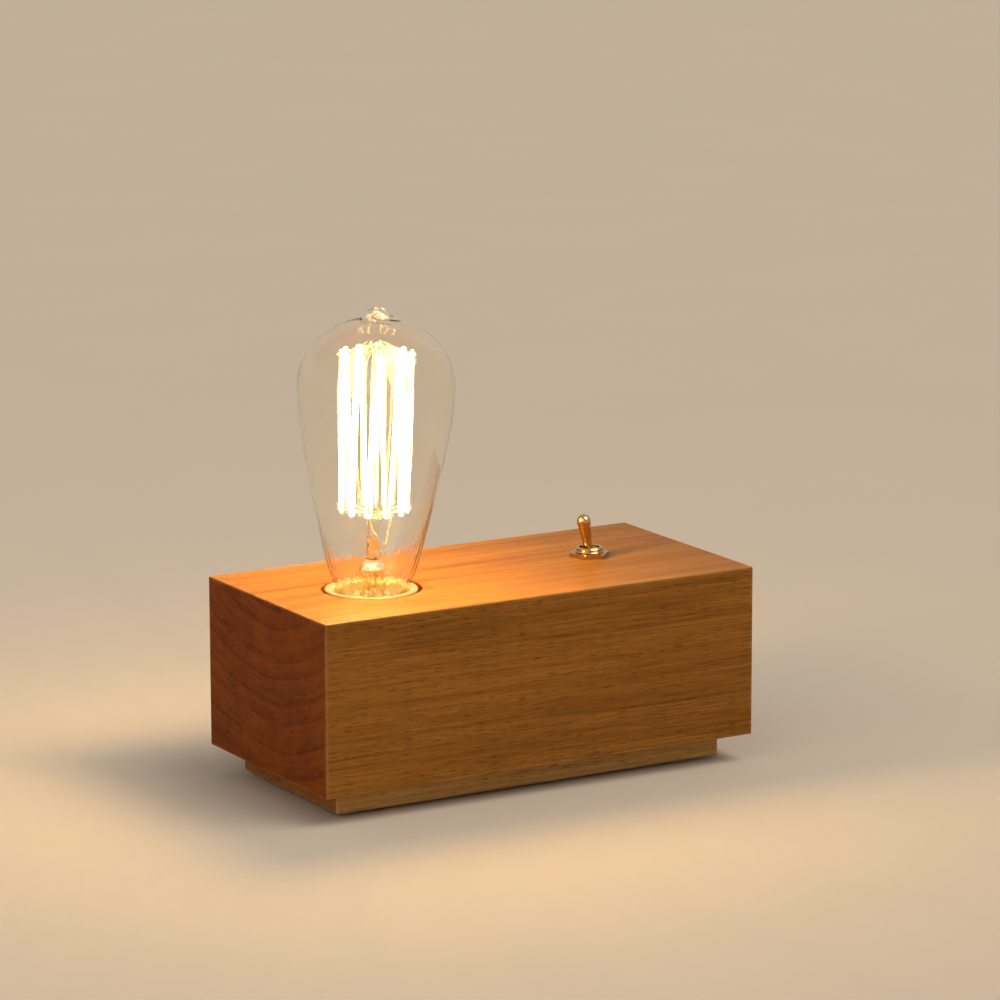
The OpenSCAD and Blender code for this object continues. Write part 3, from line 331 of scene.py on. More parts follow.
# open pores, crowded into clusters and into the inner part of each ring
pores = noise(tree, place, (150, 3000, 3000), 1.0).outputs[0]
cluster = calc(tree, "SUBTRACT", noise(tree, place, (14, 120, 120), 2.0).outputs[0], 0.5)
early = calc(tree, "MULTIPLY_ADD", cluster, 0.24, pores)
early = calc(tree, "MULTIPLY_ADD", calc(tree, "SUBTRACT", 0.5, part), 0.05, early)
pore = calc(tree, "MULTIPLY", given["Pore Amount"], filled)
pore = calc(tree, "MULTIPLY", span(tree, early, 0.58, 0.70), pore)
body = blend(tree, pore, body, given["Pore"])
body = blend(tree, end, body, blend(tree, 1.0, body, given["End Tint"], "MULTIPLY"))
tree.links.new(body, result["Colour"])
rough = calc(tree, "MULTIPLY_ADD", calc(tree, "SUBTRACT", fibre, 0.5), 0.30, given["Roughness"])
rough = calc(tree, "MULTIPLY_ADD", pore, 0.25, rough)
tree.links.new(calc(tree, "MULTIPLY_ADD", end, 0.12, rough), result["Roughness"])
height = calc(tree, "SUBTRACT", calc(tree, "MULTIPLY", fibre, 0.35), pore)
tree.links.new(height, result["Height"])

# edge wear and painted highlight: how near a point on a block is to the block's nearest edge, broken up a
# little
tree, given, result = effect("edge_wear", [
    ("Place", "Vector", (0, 0, 0)), ("Middle", "Vector", (0, 0, 0)),
    ("Half Size", "Vector", (0.1, 0.05, 0.035)), ("Width", "Float", 0.0015),
    ("Amount", "Float", 0.5)], [("Mask", "Float")])
apart = vector(tree, "ABSOLUTE", vector(tree, "SUBTRACT", given["Place"], given["Middle"]))
apart = wire(tree, "SeparateXYZ", {0: vector(tree, "SUBTRACT", given["Half Size"], apart)}).outputs
# of the distances to the three nearest faces, the middle one is that to the nearest edge
low = calc(tree, "MINIMUM", apart[0], apart[1])
high = calc(tree, "MAXIMUM", apart[0], apart[1])
middle = calc(tree, "MAXIMUM", low, calc(tree, "MINIMUM", high, apart[2]))
broken = noise(tree, given["Place"], (60, 60, 60), 4.0, 0.65).outputs[0]
reach = calc(tree, "MULTIPLY", given["Width"], span(tree, broken, 0.3, 0.7, 0.35, 1.5))
near = calc(tree, "SUBTRACT", 1.0, calc(tree, "DIVIDE", middle, reach))
near = wire(tree, "Clamp", {0: near}).outputs[0]
tree.links.new(calc(tree, "MULTIPLY", near, given["Amount"]), result["Mask"])


def finish_of(name, group, values, bump=0.0001, bump_strength=0.5, **shader):
    """A material whose colour, roughness and relief come from a shared effect."""
    material = bpy.data.materials.new(name)
    material.use_nodes = True
    tree = material.node_tree
    tree.nodes.clear()
    where = wire(tree, "TexCoord").outputs
    made = wire(tree, "Group", {"Place": where["Object"], **values}, node_tree=bpy.data.node_groups[group])
    if "Facing" in made.inputs:
        tree.links.new(where["Normal"], made.inputs["Facing"])
    relief = wire(tree, "Bump", {
        "Height": made.outputs["Height"], "Distance": bump, "Strength": bump_strength})
    surface = wire(tree, "BsdfPrincipled", {
        "Base Color": made.outputs["Colour"], "Roughness": made.outputs["Roughness"],
        "Normal": relief.outputs[0], **shader})
    wire(tree, "OutputMaterial", {"Surface": surface.outputs[0]})
    return material


def worn_and_highlit_edges(material, lo, hi, width, amount, tint):
    """Tints a timber's edges lighter, within a width in metres, where hands and cloths have rubbed them
    and as a painted highlight.
    """
    tree = material.node_tree
    figure = tree.nodes["Group"]
    surface = tree.nodes["Principled BSDF"]
    wear_and_highlight = wire(tree, "Group", {
        "Place": wire(tree, "TexCoord").outputs["Object"], "Middle": (lo + hi) / 2,
        "Half Size": (hi - lo) / 2, "Width": width, "Amount": amount},
        node_tree=bpy.data.node_groups["edge_wear"])
    # the lighter edge is partly rubbed wear and partly a painted highlight
    rubbed_and_highlit = blend(tree, wear_and_highlight.outputs["Mask"], figure.outputs["Colour"], tint)
    tree.links.new(rubbed_and_highlit, surface.inputs["Base Color"])


block_oak = finish_of("block_timber", "timber_figure", {
    "Pale": rgb(0.285, 0.114, 0.018), "Dark": rgb(0.124, 0.043, 0.005),
    "Pore": rgb(0.045, 0.016, 0.003), "Pore Amount": 0.6,
    "End Tint": rgb(0.80, 0.43, 0.10), "Roughness": 0.34},
    bump=0.00010, **{"Specular IOR Level": 0.05})
# the block's edges are lighter: rubbed wear, and a painted highlight along every edge
worn_and_highlit_edges(block_oak, block_lo, block_hi, 0.0013, 0.35, rgb(0.46, 0.24, 0.09))
timber_block.data.materials.clear()
timber_block.data.materials.append(block_oak)
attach(timber_block, "lamp_base")
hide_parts("wood_block")

# ---- porcelain lampholder ----
# The lampholder's body is slip-cast porcelain with a cream glaze, held in its hole by two
# wood screws through ears under the roof of the cavity.

# moulded surface: soft clouds, fine specks and a faint ripple, for glaze, plastic and rubber
tree, given, result = effect("moulded_surface", [
    ("Place", "Vector", (0, 0, 0)), ("Colour", "Color", rgb(0.5, 0.5, 0.5)),
    ("Cloud", "Color", rgb(0.4, 0.4, 0.4)), ("Cloud Size", "Float", 0.01),
    ("Speck", "Color", rgb(0.2, 0.2, 0.2)), ("Speck Amount", "Float", 0.2),
    ("Roughness", "Float", 0.4), ("Roughness Spread", "Float", 0.1)], SURFACE)
inverse = calc(tree, "DIVIDE", 1.0, given["Cloud Size"])
place = wire(tree, "VectorMath", {0: given["Place"], 3: inverse}, operation="SCALE").outputs[0]
cloud = noise(tree, place, (1, 1, 1), 3.0, 0.55).outputs[0]
body = blend(tree, span(tree, cloud, 0.35, 0.65), given["Colour"], given["Cloud"])
specks = span(tree, noise(tree, given["Place"], (2200, 2200, 2200), 1.0).outputs[0], 0.66, 0.74)
body = blend(tree, calc(tree, "MULTIPLY", specks, given["Speck Amount"]), body, given["Speck"])
tree.links.new(body, result["Colour"])
uneven = calc(tree, "SUBTRACT", noise(tree, given["Place"], (450, 450, 450), 3.0).outputs[0], 0.5)
rough = calc(tree, "MULTIPLY_ADD", uneven, given["Roughness Spread"], given["Roughness"])
tree.links.new(rough, result["Roughness"])
tree.links.new(calc(tree, "ADD", uneven, cloud), result["Height"])


def dress(material, *names):
    """Gives CAD nodes their material."""
    for name in names:
        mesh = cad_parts[name].data
        mesh.materials.clear()
        mesh.materials.append(material)


porcelain = finish_of("porcelain", "moulded_surface", {
    "Colour": rgb(0.41, 0.285, 0.13), "Cloud": rgb(0.35, 0.23, 0.10), "Cloud Size": 0.012,
    "Speck": rgb(0.42, 0.28, 0.13), "Speck Amount": 0.25, "Roughness": 0.16, "Roughness Spread": 0.10},
    bump=0.00008, bump_strength=0.3, **{"Coat Weight": 0.5, "Coat Roughness": 0.06})
dress(porcelain, "socket_body")

# ---- lampholder metalwork ----
# A rolled brass shell takes the cap's thread. Under it sit a riveted ring, a sprung centre
# contact and two terminals with steel clamp screws.

# worn metal: tarnish clouds, fine grain and hairline scratches on plated or rolled metal
tree, given, result = effect("worn_metal", [
    ("Place", "Vector", (0, 0, 0)), ("Colour", "Color", rgb(0.7, 0.7, 0.7)),
    ("Tarnish", "Color", rgb(0.4, 0.35, 0.3)), ("Tarnish Amount", "Float", 0.4),
    ("Roughness", "Float", 0.3), ("Scratches", "Float", 0.3)], SURFACE)
cloud = span(tree, noise(tree, given["Place"], (260, 260, 260), 4.0, 0.6).outputs[0], 0.42, 0.68)
film = calc(tree, "MULTIPLY", cloud, given["Tarnish Amount"])
body = blend(tree, film, given["Colour"], given["Tarnish"])
grain = noise(tree, given["Place"], (3500, 3500, 700), 2.0).outputs[0]
scratch = span(tree, noise(tree, given["Place"], (500, 500, 9000), 1.0).outputs[0], 0.60, 0.72)
scratch = calc(tree, "MULTIPLY", scratch, given["Scratches"])
tree.links.new(body, result["Colour"])
rough = calc(tree, "MULTIPLY_ADD", film, 0.25, given["Roughness"])
rough = calc(tree, "MULTIPLY_ADD", calc(tree, "SUBTRACT", grain, 0.5), 0.10, rough)
tree.links.new(calc(tree, "MULTIPLY_ADD", scratch, 0.12, rough), result["Roughness"])
tree.links.new(calc(tree, "SUBTRACT", grain, calc(tree, "MULTIPLY", scratch, 1.5)), result["Height"])

PITCH = 3.629
THREAD_WAVE = 0.57
SHELL_TOP = -12.5
SHELL_FOOT = -36.2
SHELL_MID_R = 12.8
SHELL_OUT_R = 14.02


def thread_line(top, foot, radius, side, step=0.16):
    """Stations of (height, radius, wave) down a thread that fades over half a pitch at each end."""
    count = math.ceil(abs(top - foot) / step)
    line = []
    for i in range(count + 1):
        z = top + (foot - top) * i / count
        full = min(1.0, min(abs(z - top), abs(z - foot)) / (PITCH / 2))
        full = full * full * (3 - 2 * full)
        line.append((z, radius + side * THREAD_WAVE * (1 - full), THREAD_WAVE * full))
    return line


def threaded_ring(bm, stations, steps=96):
    """A closed ring of stations; those with a wave follow the thread round."""
    rings = []
    for z, r, wave in stations:
        ring = []
        for k in range(steps):
            a = math.tau * k / steps
            reach = r + wave * math.cos(math.tau * z / PITCH - a)
            at = (SOCKET[0] + reach * math.cos(a), SOCKET[1] + reach * math.sin(a), TOP + z)
            ring.append(bm.verts.new(at))
        rings.append(ring)
    for low, high in zip(rings, rings[1:] + rings[:1]):
        for k in range(steps):
            m = (k + 1) % steps
            bm.faces.new((low[k], low[m], high[m], high[k]))


brass = finish_of("contact_brass", "worn_metal", {
    "Colour": rgb(0.80, 0.55, 0.22), "Tarnish": rgb(0.42, 0.22, 0.07), "Tarnish Amount": 0.5,
    "Roughness": 0.24, "Scratches": 0.3}, bump=0.00003, bump_strength=0.3, Metallic=1.0)
shell_line = thread_line(SHELL_TOP, SHELL_FOOT, SHELL_MID_R, 1)
shell_line += [(SHELL_FOOT, SHELL_OUT_R, 0), (SHELL_TOP, SHELL_OUT_R, 0)]
screw_shell = solid("screw_shell", lambda bm: threaded_ring(bm, shell_line), angle=50)
screw_shell.data.materials.append(brass)
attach(screw_shell, "lamp_base")
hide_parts("socket_shell")
dress(brass, "socket_ring", "socket_contact", "socket_terminals", "switch_contacts", "strip_inserts")

steel = finish_of("screw_steel", "worn_metal", {
    "Colour": rgb(0.56, 0.55, 0.52), "Tarnish": rgb(0.30, 0.27, 0.22), "Tarnish Amount": 0.45,
    "Roughness": 0.32, "Scratches": 0.4}, bump=0.00003, bump_strength=0.3, Metallic=1.0)
dress(steel, "socket_screws", "socket_clamp_screws", "switch_clamp_screws", "strip_clamp_screws",
      "strip_fixing", "plate_screws")

# ---- toggle switch ----
# A nickel-plated bat lever with a ball end, on a pin through a threaded bushing. Two hex nuts
# and a lock washer clamp the bushing to the thin web of timber over the pocket.
# the nickel's golden colour is a painted reflection of the lit timber and the glowing bulb
nickel_with_painted_warmth = finish_of("switch_nickel", "worn_metal", {
    "Colour": rgb(0.60, 0.42, 0.21), "Tarnish": rgb(0.30, 0.18, 0.07), "Tarnish Amount": 0.45,
    "Roughness": 0.13, "Scratches": 0.35}, bump=0.00002, bump_strength=0.25, Metallic=1.0)
dress(nickel_with_painted_warmth, "switch_frame", "switch_nut", "switch_washer", "switch_lower_nut", "switch_lever")

# ---- switch works ----
# A phenolic housing closes the switch. The lever's spring and nylon plunger tip a copper
# rocker over its fulcrum onto the riveted contacts.
phenolic = finish_of("phenolic", "moulded_surface", {
    "Colour": rgb(0.110, 0.042, 0.016), "Cloud": rgb(0.070, 0.026, 0.010), "Cloud Size": 0.004,
    "Speck": rgb(0.16, 0.08, 0.04), "Speck Amount": 0.3, "Roughness": 0.34, "Roughness Spread": 0.15},
    bump=0.00005)
dress(phenolic, "switch_housing")
pin_steel = finish_of("pin_steel", "worn_metal", {
    "Colour": rgb(0.50, 0.50, 0.50), "Tarnish": rgb(0.26, 0.25, 0.24), "Tarnish Amount": 0.3,
    "Roughness": 0.28, "Scratches": 0.2}, bump=0.00002, Metallic=1.0)
dress(pin_steel, "switch_pin", "switch_spring")
nylon = finish_of("nylon", "moulded_surface", {
    "Colour": rgb(0.70, 0.66, 0.54), "Cloud": rgb(0.64, 0.58, 0.44), "Cloud Size": 0.006,
    "Speck": rgb(0.5, 0.45, 0.34), "Speck Amount": 0.15, "Roughness": 0.42, "Roughness Spread": 0.12},
    bump=0.00004)
dress(nylon, "switch_plunger", "terminal_strip")
copper = finish_of("copper", "worn_metal", {
    "Colour": rgb(0.72, 0.34, 0.17), "Tarnish": rgb(0.36, 0.14, 0.07), "Tarnish Amount": 0.5,
    "Roughness": 0.26, "Scratches": 0.3}, bump=0.00002, Metallic=1.0)
dress(copper, "switch_rocker")

# ---- wires and inlet bush ----
# Sleeved copper wires run between the terminals inside the cavity, and a moulded bush lines
# the lead's way in through the rear wall.
brown = finish_of("brown_insulation", "moulded_surface", {
    "Colour": rgb(0.120, 0.045, 0.018), "Cloud": rgb(0.090, 0.032, 0.012), "Cloud Size": 0.005,
    "Speck": rgb(0.2, 0.1, 0.05), "Speck Amount": 0.1, "Roughness": 0.40, "Roughness Spread": 0.12},
    bump=0.00003)
dress(brown, "wire_live", "wire_switched")
blue = finish_of("blue_insulation", "moulded_surface", {
    "Colour": rgb(0.030, 0.090, 0.300), "Cloud": rgb(0.022, 0.066, 0.230), "Cloud Size": 0.005,
    "Speck": rgb(0.08, 0.16, 0.4), "Speck Amount": 0.1, "Roughness": 0.40, "Roughness Spread": 0.12},
    bump=0.00003)
dress(blue, "wire_neutral")
bush_plastic = finish_of("bush_plastic", "moulded_surface", {
    "Colour": rgb(0.030, 0.026, 0.022), "Cloud": rgb(0.022, 0.019, 0.016), "Cloud Size": 0.004,
    "Speck": rgb(0.07, 0.06, 0.05), "Speck Amount": 0.3, "Roughness": 0.38, "Roughness Spread": 0.15},
    bump=0.00005)
dress(bush_plastic, "inlet_bush")

# ---- base plate and feet ----
# A thinner plate of paler timber closes the cavity, held by four countersunk screws. Four
# round rubber pads keep it just clear of the table.
plate_lo, plate_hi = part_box("base_plate")
plate_oak = finish_of("plate_timber", "timber_figure", {
    "Log Y": -0.08, "Log Z": -0.16, "Ring Width": 0.007,
    "Pale": rgb(0.49, 0.255, 0.068), "Dark": rgb(0.27, 0.122, 0.028), "Pore": rgb(0.10, 0.045, 0.015),
    "Pore Amount": 0.7, "End Tint": rgb(0.70, 0.48, 0.30), "Roughness": 0.50}, bump=0.00012,
    **{"Specular IOR Level": 0.15})
# the plate's edges are lighter: rubbed wear, and a painted highlight along every edge
worn_and_highlit_edges(plate_oak, plate_lo, plate_hi, 0.0016, 0.45, rgb(0.60, 0.40, 0.20))
dress(plate_oak, "base_plate")
rubber = finish_of("pad_rubber", "moulded_surface", {
    "Colour": rgb(0.030, 0.028, 0.026), "Cloud": rgb(0.045, 0.042, 0.038), "Cloud Size": 0.006,
    "Speck": rgb(0.12, 0.11, 0.1), "Speck Amount": 0.4, "Roughness": 0.75, "Roughness Spread": 0.2},
    bump=0.0001)
dress(rubber, "feet")

# ---- bulb cap ----
# Thin nickel-plated sheet, spun to a plain collar and rolled to the screw thread. Black glass
# fused in its foot holds the soldered centre contact.
CAP_RIM = -4.5
CAP_COLLAR = -10.5
CAP_THREAD_TOP = -11.5
CAP_THREAD_FOOT = -24.0
CAP_THREAD_R = 12.55
CAP_SHEET = 0.4
COLLAR_R = 14.0
CAP_FOOT = -26.2
CAP_FOOT_R = 9.5
collar_in = COLLAR_R - CAP_SHEET
thread_in = CAP_THREAD_R - THREAD_WAVE - CAP_SHEET
# up the inside of the collar, over its rolled rim and down to its rounded step
cap_line = [(CAP_COLLAR + CAP_SHEET, collar_in, 0), (CAP_RIM - 0.15, collar_in, 0)]
cap_line += [(CAP_RIM, COLLAR_R - 0.25, 0), (CAP_RIM - 0.05, COLLAR_R - 0.05, 0)]
cap_line += [(CAP_RIM - 0.2, COLLAR_R, 0), (CAP_COLLAR + 0.4, COLLAR_R, 0)]
cap_line += [(CAP_COLLAR + 0.1, COLLAR_R - 0.15, 0), (CAP_COLLAR - 0.1, COLLAR_R - 0.6, 0)]
cap_line += thread_line(CAP_THREAD_TOP, CAP_THREAD_FOOT, CAP_THREAD_R, -1)
cap_line += [(CAP_FOOT, CAP_FOOT_R, 0), (CAP_FOOT, CAP_FOOT_R - CAP_SHEET, 0)]
cap_line += [(CAP_THREAD_FOOT, thread_in, 0), (CAP_THREAD_TOP, thread_in, 0)]
cap_nickel = finish_of("cap_nickel", "worn_metal", {
    "Colour": rgb(0.66, 0.58, 0.45), "Tarnish": rgb(0.38, 0.28, 0.16), "Tarnish Amount": 0.45,
    "Roughness": 0.24, "Scratches": 0.45}, bump=0.00003, Metallic=1.0)
cap_shell = solid("cap_shell", lambda bm: threaded_ring(bm, cap_line), angle=50)
cap_shell.data.materials.append(cap_nickel)
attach(cap_shell, "bulb")
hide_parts("bulb_cap")
black_glass = finish_of("black_glass", "moulded_surface", {
    "Colour": rgb(0.020, 0.012, 0.026), "Cloud": rgb(0.030, 0.018, 0.036), "Cloud Size": 0.003,
    "Speck": rgb(0.08, 0.06, 0.1), "Speck Amount": 0.2, "Roughness": 0.10, "Roughness Spread": 0.08},
    bump=0.00003)
dress(black_glass, "bulb_insulator")
solder = finish_of("solder", "worn_metal", {
    "Colour": rgb(0.55, 0.55, 0.55), "Tarnish": rgb(0.30, 0.30, 0.31), "Tarnish Amount": 0.6,
    "Roughness": 0.38, "Scratches": 0.3}, bump=0.00006, Metallic=1.0)
dress(solder, "bulb_contact")

# ---- glass stem ----
# A flared tube sealed to the neck, pinched flat round the lead-in wires and drawn out to a
# rod. Two buttons melted on the rod hold the anchor wires.
NECK_R = 13.2
GLASS_T = 0.8
GLASS_FOOT = -10.0
FLARE_TOP = -1.0
FLARE_BEND = -6.0
STEM_R = 4.85
STEM_WALL = 0.8
SHOULDER = 10.5
PINCH = 16.5
PINCH_MIDDLE = 15.0
PINCH_HALF = 3.2
ROD_R = 2.35
THIN_ROD_R = 1.45
BUTTON_R = 2.8
BUTTON_H = 3.0
FOOT_BUTTON = 30.7
TOP_BUTTON = 99.0


def bezier(p, steps):
    """Points of a cubic curve, its first point left out."""
    points = []
    for i in range(1, steps + 1):
        t = i / steps
        s = 1 - t
        weights = (s ** 3, 3 * s * s * t, 3 * s * t * t, t ** 3)
        points.append(tuple(sum(w * q[k] for w, q in zip(weights, p)) for k in range(len(p[0]))))
    return points


def button(z, reach, foot_r, head_r):
    """A round swelling of the rod, melted on at a height."""
    low, high = z - BUTTON_H / 2, z + BUTTON_H / 2
    return bezier([(foot_r, low), (reach + 0.3, low), (reach + 0.3, high), (head_r, high)], 16)


flare_r = NECK_R - GLASS_T - 0.2
flare_in = flare_r - STEM_WALL
tube_in = STEM_R - STEM_WALL
# up the outside of the flare, the tube and the pinch
stem_line = [(flare_in, GLASS_FOOT), (flare_r, GLASS_FOOT)]
stem_line += bezier([(flare_r, GLASS_FOOT), (flare_r - 1, FLARE_BEND), (STEM_R, FLARE_BEND),
                     (STEM_R, FLARE_TOP)], 20)
stem_line += [(STEM_R, z) for z in (1.0, 3.0, 5.0, 7.0)] + [(STEM_R, SHOULDER - 2)]
stem_line += bezier([(STEM_R, SHOULDER - 2), (STEM_R, SHOULDER + 0.5), (ROD_R + 0.6, SHOULDER + 1),
                     (ROD_R + 0.4, SHOULDER + 3)], 14)
stem_line += [(ROD_R + 0.55, PINCH_MIDDLE), (ROD_R + 0.5, PINCH), (ROD_R, PINCH + 1), (ROD_R, 22.0)]
# the rod and its two buttons
stem_line += [(ROD_R, FOOT_BUTTON - BUTTON_H / 2)] + button(FOOT_BUTTON, BUTTON_R, ROD_R, THIN_ROD_R)
stem_line += [(THIN_ROD_R, z) for z in (40.0, 55.0, 70.0, 85.0, TOP_BUTTON - BUTTON_H / 2)]
stem_line += button(TOP_BUTTON, BUTTON_R - 0.4, THIN_ROD_R, 0.0)
# down the inside of the tube and the flare
stem_line += [(0, SHOULDER - 0.5)]
stem_line += bezier([(0, SHOULDER - 0.5), (tube_in - 1.4, SHOULDER - 0.5),
                     (tube_in, SHOULDER - 1.5), (tube_in, SHOULDER - 3.4)], 10)
stem_line += [(tube_in, z) for z in (5.0, 3.0, 1.0, FLARE_TOP)]
stem_line += bezier([(tube_in, FLARE_TOP), (tube_in, FLARE_BEND),
                     (flare_in - 1, FLARE_BEND), (flare_in, GLASS_FOOT + 1)], 20)


def stem_form(a, r, z):
    """The pinch is pressed flat, and the tube and rod are a little uneven from the flame."""
    pinch = max(0.0, 1 - abs(z - PINCH_MIDDLE) / PINCH_HALF)
    flat = 0.55 * pinch * math.cos(2 * (a - 0.6))
    uneven = 0.05 * math.sin(1.9 * z + 2 * a) + 0.04 * math.sin(0.83 * z - a)
    return (flat + uneven) * min(1.0, r / 2.0) * (0.4 if r > 6 else 1.0)


# the flame's upright marks are full below the first height and gone above the second
NECK_MARKS = (12.0, 42.0)


def clear_glass(name, tint, ripple_scale, ripple, rough=0.0, drawn=0.0):
    """Clear glass that lets light rays through to the timber, with a faint ripple in its surface.

    Drawn is the share of the upright marks that the flame leaves round the neck."""
    material = bpy.data.materials.new(name)
    material.use_nodes = True
    tree = material.node_tree
    tree.nodes.clear()
    where = wire(tree, "TexCoord").outputs["Object"]
    wavy = noise(tree, where, ripple_scale, 1.5).outputs[0]
    level = wire(tree, "SeparateXYZ", {0: where}).outputs[2]
    marks_foot, marks_top = [(TOP + z) * MM for z in NECK_MARKS]
    near_neck = span(tree, level, marks_foot, marks_top, drawn, 0.0)
    marks = noise(tree, where, (620, 620, 30), 2.0).outputs[0]
    wavy = calc(tree, "MULTIPLY_ADD", marks, near_neck, wavy)
    relief = wire(tree, "Bump", {"Height": wavy, "Distance": ripple, "Strength": 1.0})
    film = span(tree, noise(tree, where, (90, 90, 90), 3.0).outputs[0], 0.35, 0.7)
    colour = blend(tree, film, tint, rgb(*[0.985 * c for c in tint[:3]]))
    glass = wire(tree, "BsdfPrincipled", {
        "Base Color": colour, "Roughness": rough, "IOR": 1.5, "Transmission Weight": 1.0,
        "Normal": relief.outputs[0]})
    clear = wire(tree, "BsdfTransparent", {"Color": tint})
    rays = wire(tree, "LightPath").outputs
    direct = calc(tree, "MAXIMUM", rays["Is Shadow Ray"], rays["Is Diffuse Ray"])
    mixed = wire(tree, "MixShader", {0: direct, 1: glass.outputs[0], 2: clear.outputs[0]})
    wire(tree, "OutputMaterial", {"Surface": mixed.outputs[0]})
    return material


# the bulb tips about a level line through its cap, by this many degrees
LEAN = 1.6
LEAN_PIVOT = -8.0
LEAN_AXIS = (0.506, 0.863, 0.0)


def lean(piece):
    """Tips a piece a little to the right about the cap, in which the glass was cemented askew."""
    pivot = Vector((*SOCKET, TOP + LEAN_PIVOT)) * MM
    tip = Matrix.Rotation(math.radians(LEAN), 4, LEAN_AXIS)
    piece.data.transform(Matrix.Translation(pivot) @ tip @ Matrix.Translation(-pivot))


stem_glass = clear_glass("stem_glass", rgb(0.99, 0.95, 0.82), (420, 420, 160), 0.00012, 0.06)
glass_stem = solid("glass_stem", lambda bm: turned(
    bm, stem_line, 72, (*SOCKET, TOP), wave=stem_form), angle=60)
glass_stem.data.materials.append(stem_glass)
lean(glass_stem)
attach(glass_stem, "bulb")
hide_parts("bulb_stem")

# ---- filament ----
# One long coiled wire hung up and down in a cage of twenty-two strands, and run bright. It
# bows a little between its bends and is cooler where the anchors touch it.
BENDS = 11
CAGE_TURN = 44.0
BEND_STEP = 360 / (BENDS + 0.5)
CAGE_TOP_R = 14.4
CAGE_FOOT_R = 13.6
CAGE_TOP = 97.0
CAGE_FOOT = 32.0
FILAMENT_R = 0.55
BEND_R = 0.95
BEND_POINTS = 9
STRAND_POINTS = 14
BOW_OUT = 0.3
BOW_ASIDE = 0.45
STRAND_RIPPLE = 0.12
COOL_TOP = 6.0
COOL_FOOT = 7.0
GLOW_STRENGTH = 146.0
rng = random.Random(11)


def polar(angle, r, z):
    """A point by its angle about the bulb's axis, in degrees, its radius and its height."""
    a = math.radians(angle)
    return Vector((r * math.cos(a), r * math.sin(a), z))


def top_bend(i):
    """The angle of a bend at the top of the cage, halfway between two at its foot."""
    return CAGE_TURN + (i + 0.5) * BEND_STEP


def foot_bend(i):
    """The angle of a bend at the foot of the cage."""
    return CAGE_TURN + i * BEND_STEP


def half_turn(angle, r, z, side):
    """A half turn of filament over an anchor, side +1 above it and -1 below it."""
    a = math.radians(angle)
    along = Vector((-math.sin(a), math.cos(a), 0))
    points = []
    for k in range(BEND_POINTS):
        b = math.radians(180 - 180 * k / (BEND_POINTS - 1))
        lift = Vector((0, 0, side * BEND_R * math.sin(b)))
        points.append(polar(angle, r, z) + BEND_R * math.cos(b) * along + lift)
    return points


def strand(a, b):
    """Points between two bends, bowed a little in or out and to one side."""
    outward = ((a + b) / 2 * Vector((1, 1, 0))).normalized()
    aside = outward.cross(Vector((0, 0, 1)))
    bow = outward * rng.uniform(-BOW_OUT, BOW_OUT) + aside * rng.uniform(-BOW_ASIDE, BOW_ASIDE)
    ripple = aside * rng.uniform(-STRAND_RIPPLE, STRAND_RIPPLE)
    points = []
    for i in range(1, STRAND_POINTS):
        t = i / STRAND_POINTS
        points.append(a.lerp(b, t) + bow * math.sin(math.pi * t) + ripple * math.sin(3 * math.pi * t))
    return points


def cage_path():
    """The whole filament, up and down round the cage from one lead-in wire to the other."""
    points = [polar(foot_bend(0), CAGE_FOOT_R, CAGE_FOOT)]
    for i in range(BENDS):
        turn = half_turn(top_bend(i), CAGE_TOP_R, CAGE_TOP - BEND_R, 1)
        points += strand(points[-1], turn[0]) + turn
        if i < BENDS - 1:
            turn = half_turn(foot_bend(i + 1), CAGE_FOOT_R, CAGE_FOOT + BEND_R, -1)
            points += strand(points[-1], turn[0]) + turn
    end = polar(foot_bend(BENDS), CAGE_FOOT_R, CAGE_FOOT)
    return points + strand(points[-1], end) + [end]


def swept(bm, path, radius, sides=12):
    """A round bar along a path, with its frame carried smoothly and its ends closed."""
    base = Vector((*SOCKET, TOP))
    steps = [b - a for a, b in zip(path, path[1:])]
    heads = []
    for behind, ahead in zip(steps[:1] + steps, steps + steps[-1:]):
        heads.append((ahead.normalized() + behind.normalized()).normalized())
    side = heads[0].orthogonal().normalized()
    rings = []
    for p, head in zip(path, heads):
        side = (side - head * side.dot(head)).normalized()
        other = head.cross(side)
        ring = []
        for k in range(sides):
            a = math.tau * k / sides
            ring.append(bm.verts.new(base + p + radius * (math.cos(a) * side + math.sin(a) * other)))
        rings.append(ring)
    for low, high in zip(rings, rings[1:]):
        for k in range(sides):
            m = (k + 1) % sides
            bm.faces.new((low[k], low[m], high[m], high[k]))
    bm.faces.new(rings[0][::-1])
    bm.faces.new(rings[-1])


filament_glow = bpy.data.materials.new("filament")
filament_glow.use_nodes = True
tree = filament_glow.node_tree
tree.nodes.clear()
where = wire(tree, "TexCoord").outputs["Object"]
level = wire(tree, "SeparateXYZ", {0: where}).outputs[2]
# redder light near both rows of bends, where the anchors draw off heat, and between the coils
cool_top = span(tree, level, (TOP + CAGE_TOP - COOL_TOP) * MM, (TOP + CAGE_TOP) * MM)
cool_foot = span(tree, level, (TOP + CAGE_FOOT) * MM, (TOP + CAGE_FOOT + COOL_FOOT) * MM, 1.0, 0.0)
coil = wire(tree, "TexWave", {"Vector": where, "Scale": 420.0, "Distortion": 0.0},
            wave_type="BANDS", bands_direction="Z").outputs[1]
ends = calc(tree, "MAXIMUM", cool_top, cool_foot)
glow = blend(tree, calc(tree, "MULTIPLY", ends, 0.8), rgb(1.0, 0.71, 0.27), rgb(0.80, 0.44, 0.13))
glow = blend(tree, calc(tree, "MULTIPLY", coil, 0.35), glow, rgb(0.80, 0.48, 0.14))
hot = wire(tree, "BsdfPrincipled", {
    "Base Color": rgb(0.30, 0.22, 0.14), "Roughness": 0.6, "Emission Color": glow,
    "Emission Strength": GLOW_STRENGTH})
wire(tree, "OutputMaterial", {"Surface": hot.outputs[0]})
filament_cage = solid("filament_cage", lambda bm: swept(bm, cage_path(), FILAMENT_R), angle=80)
filament_cage.data.materials.append(filament_glow)
lean(filament_cage)
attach(filament_cage, "bulb")
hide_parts("bulb_filament")

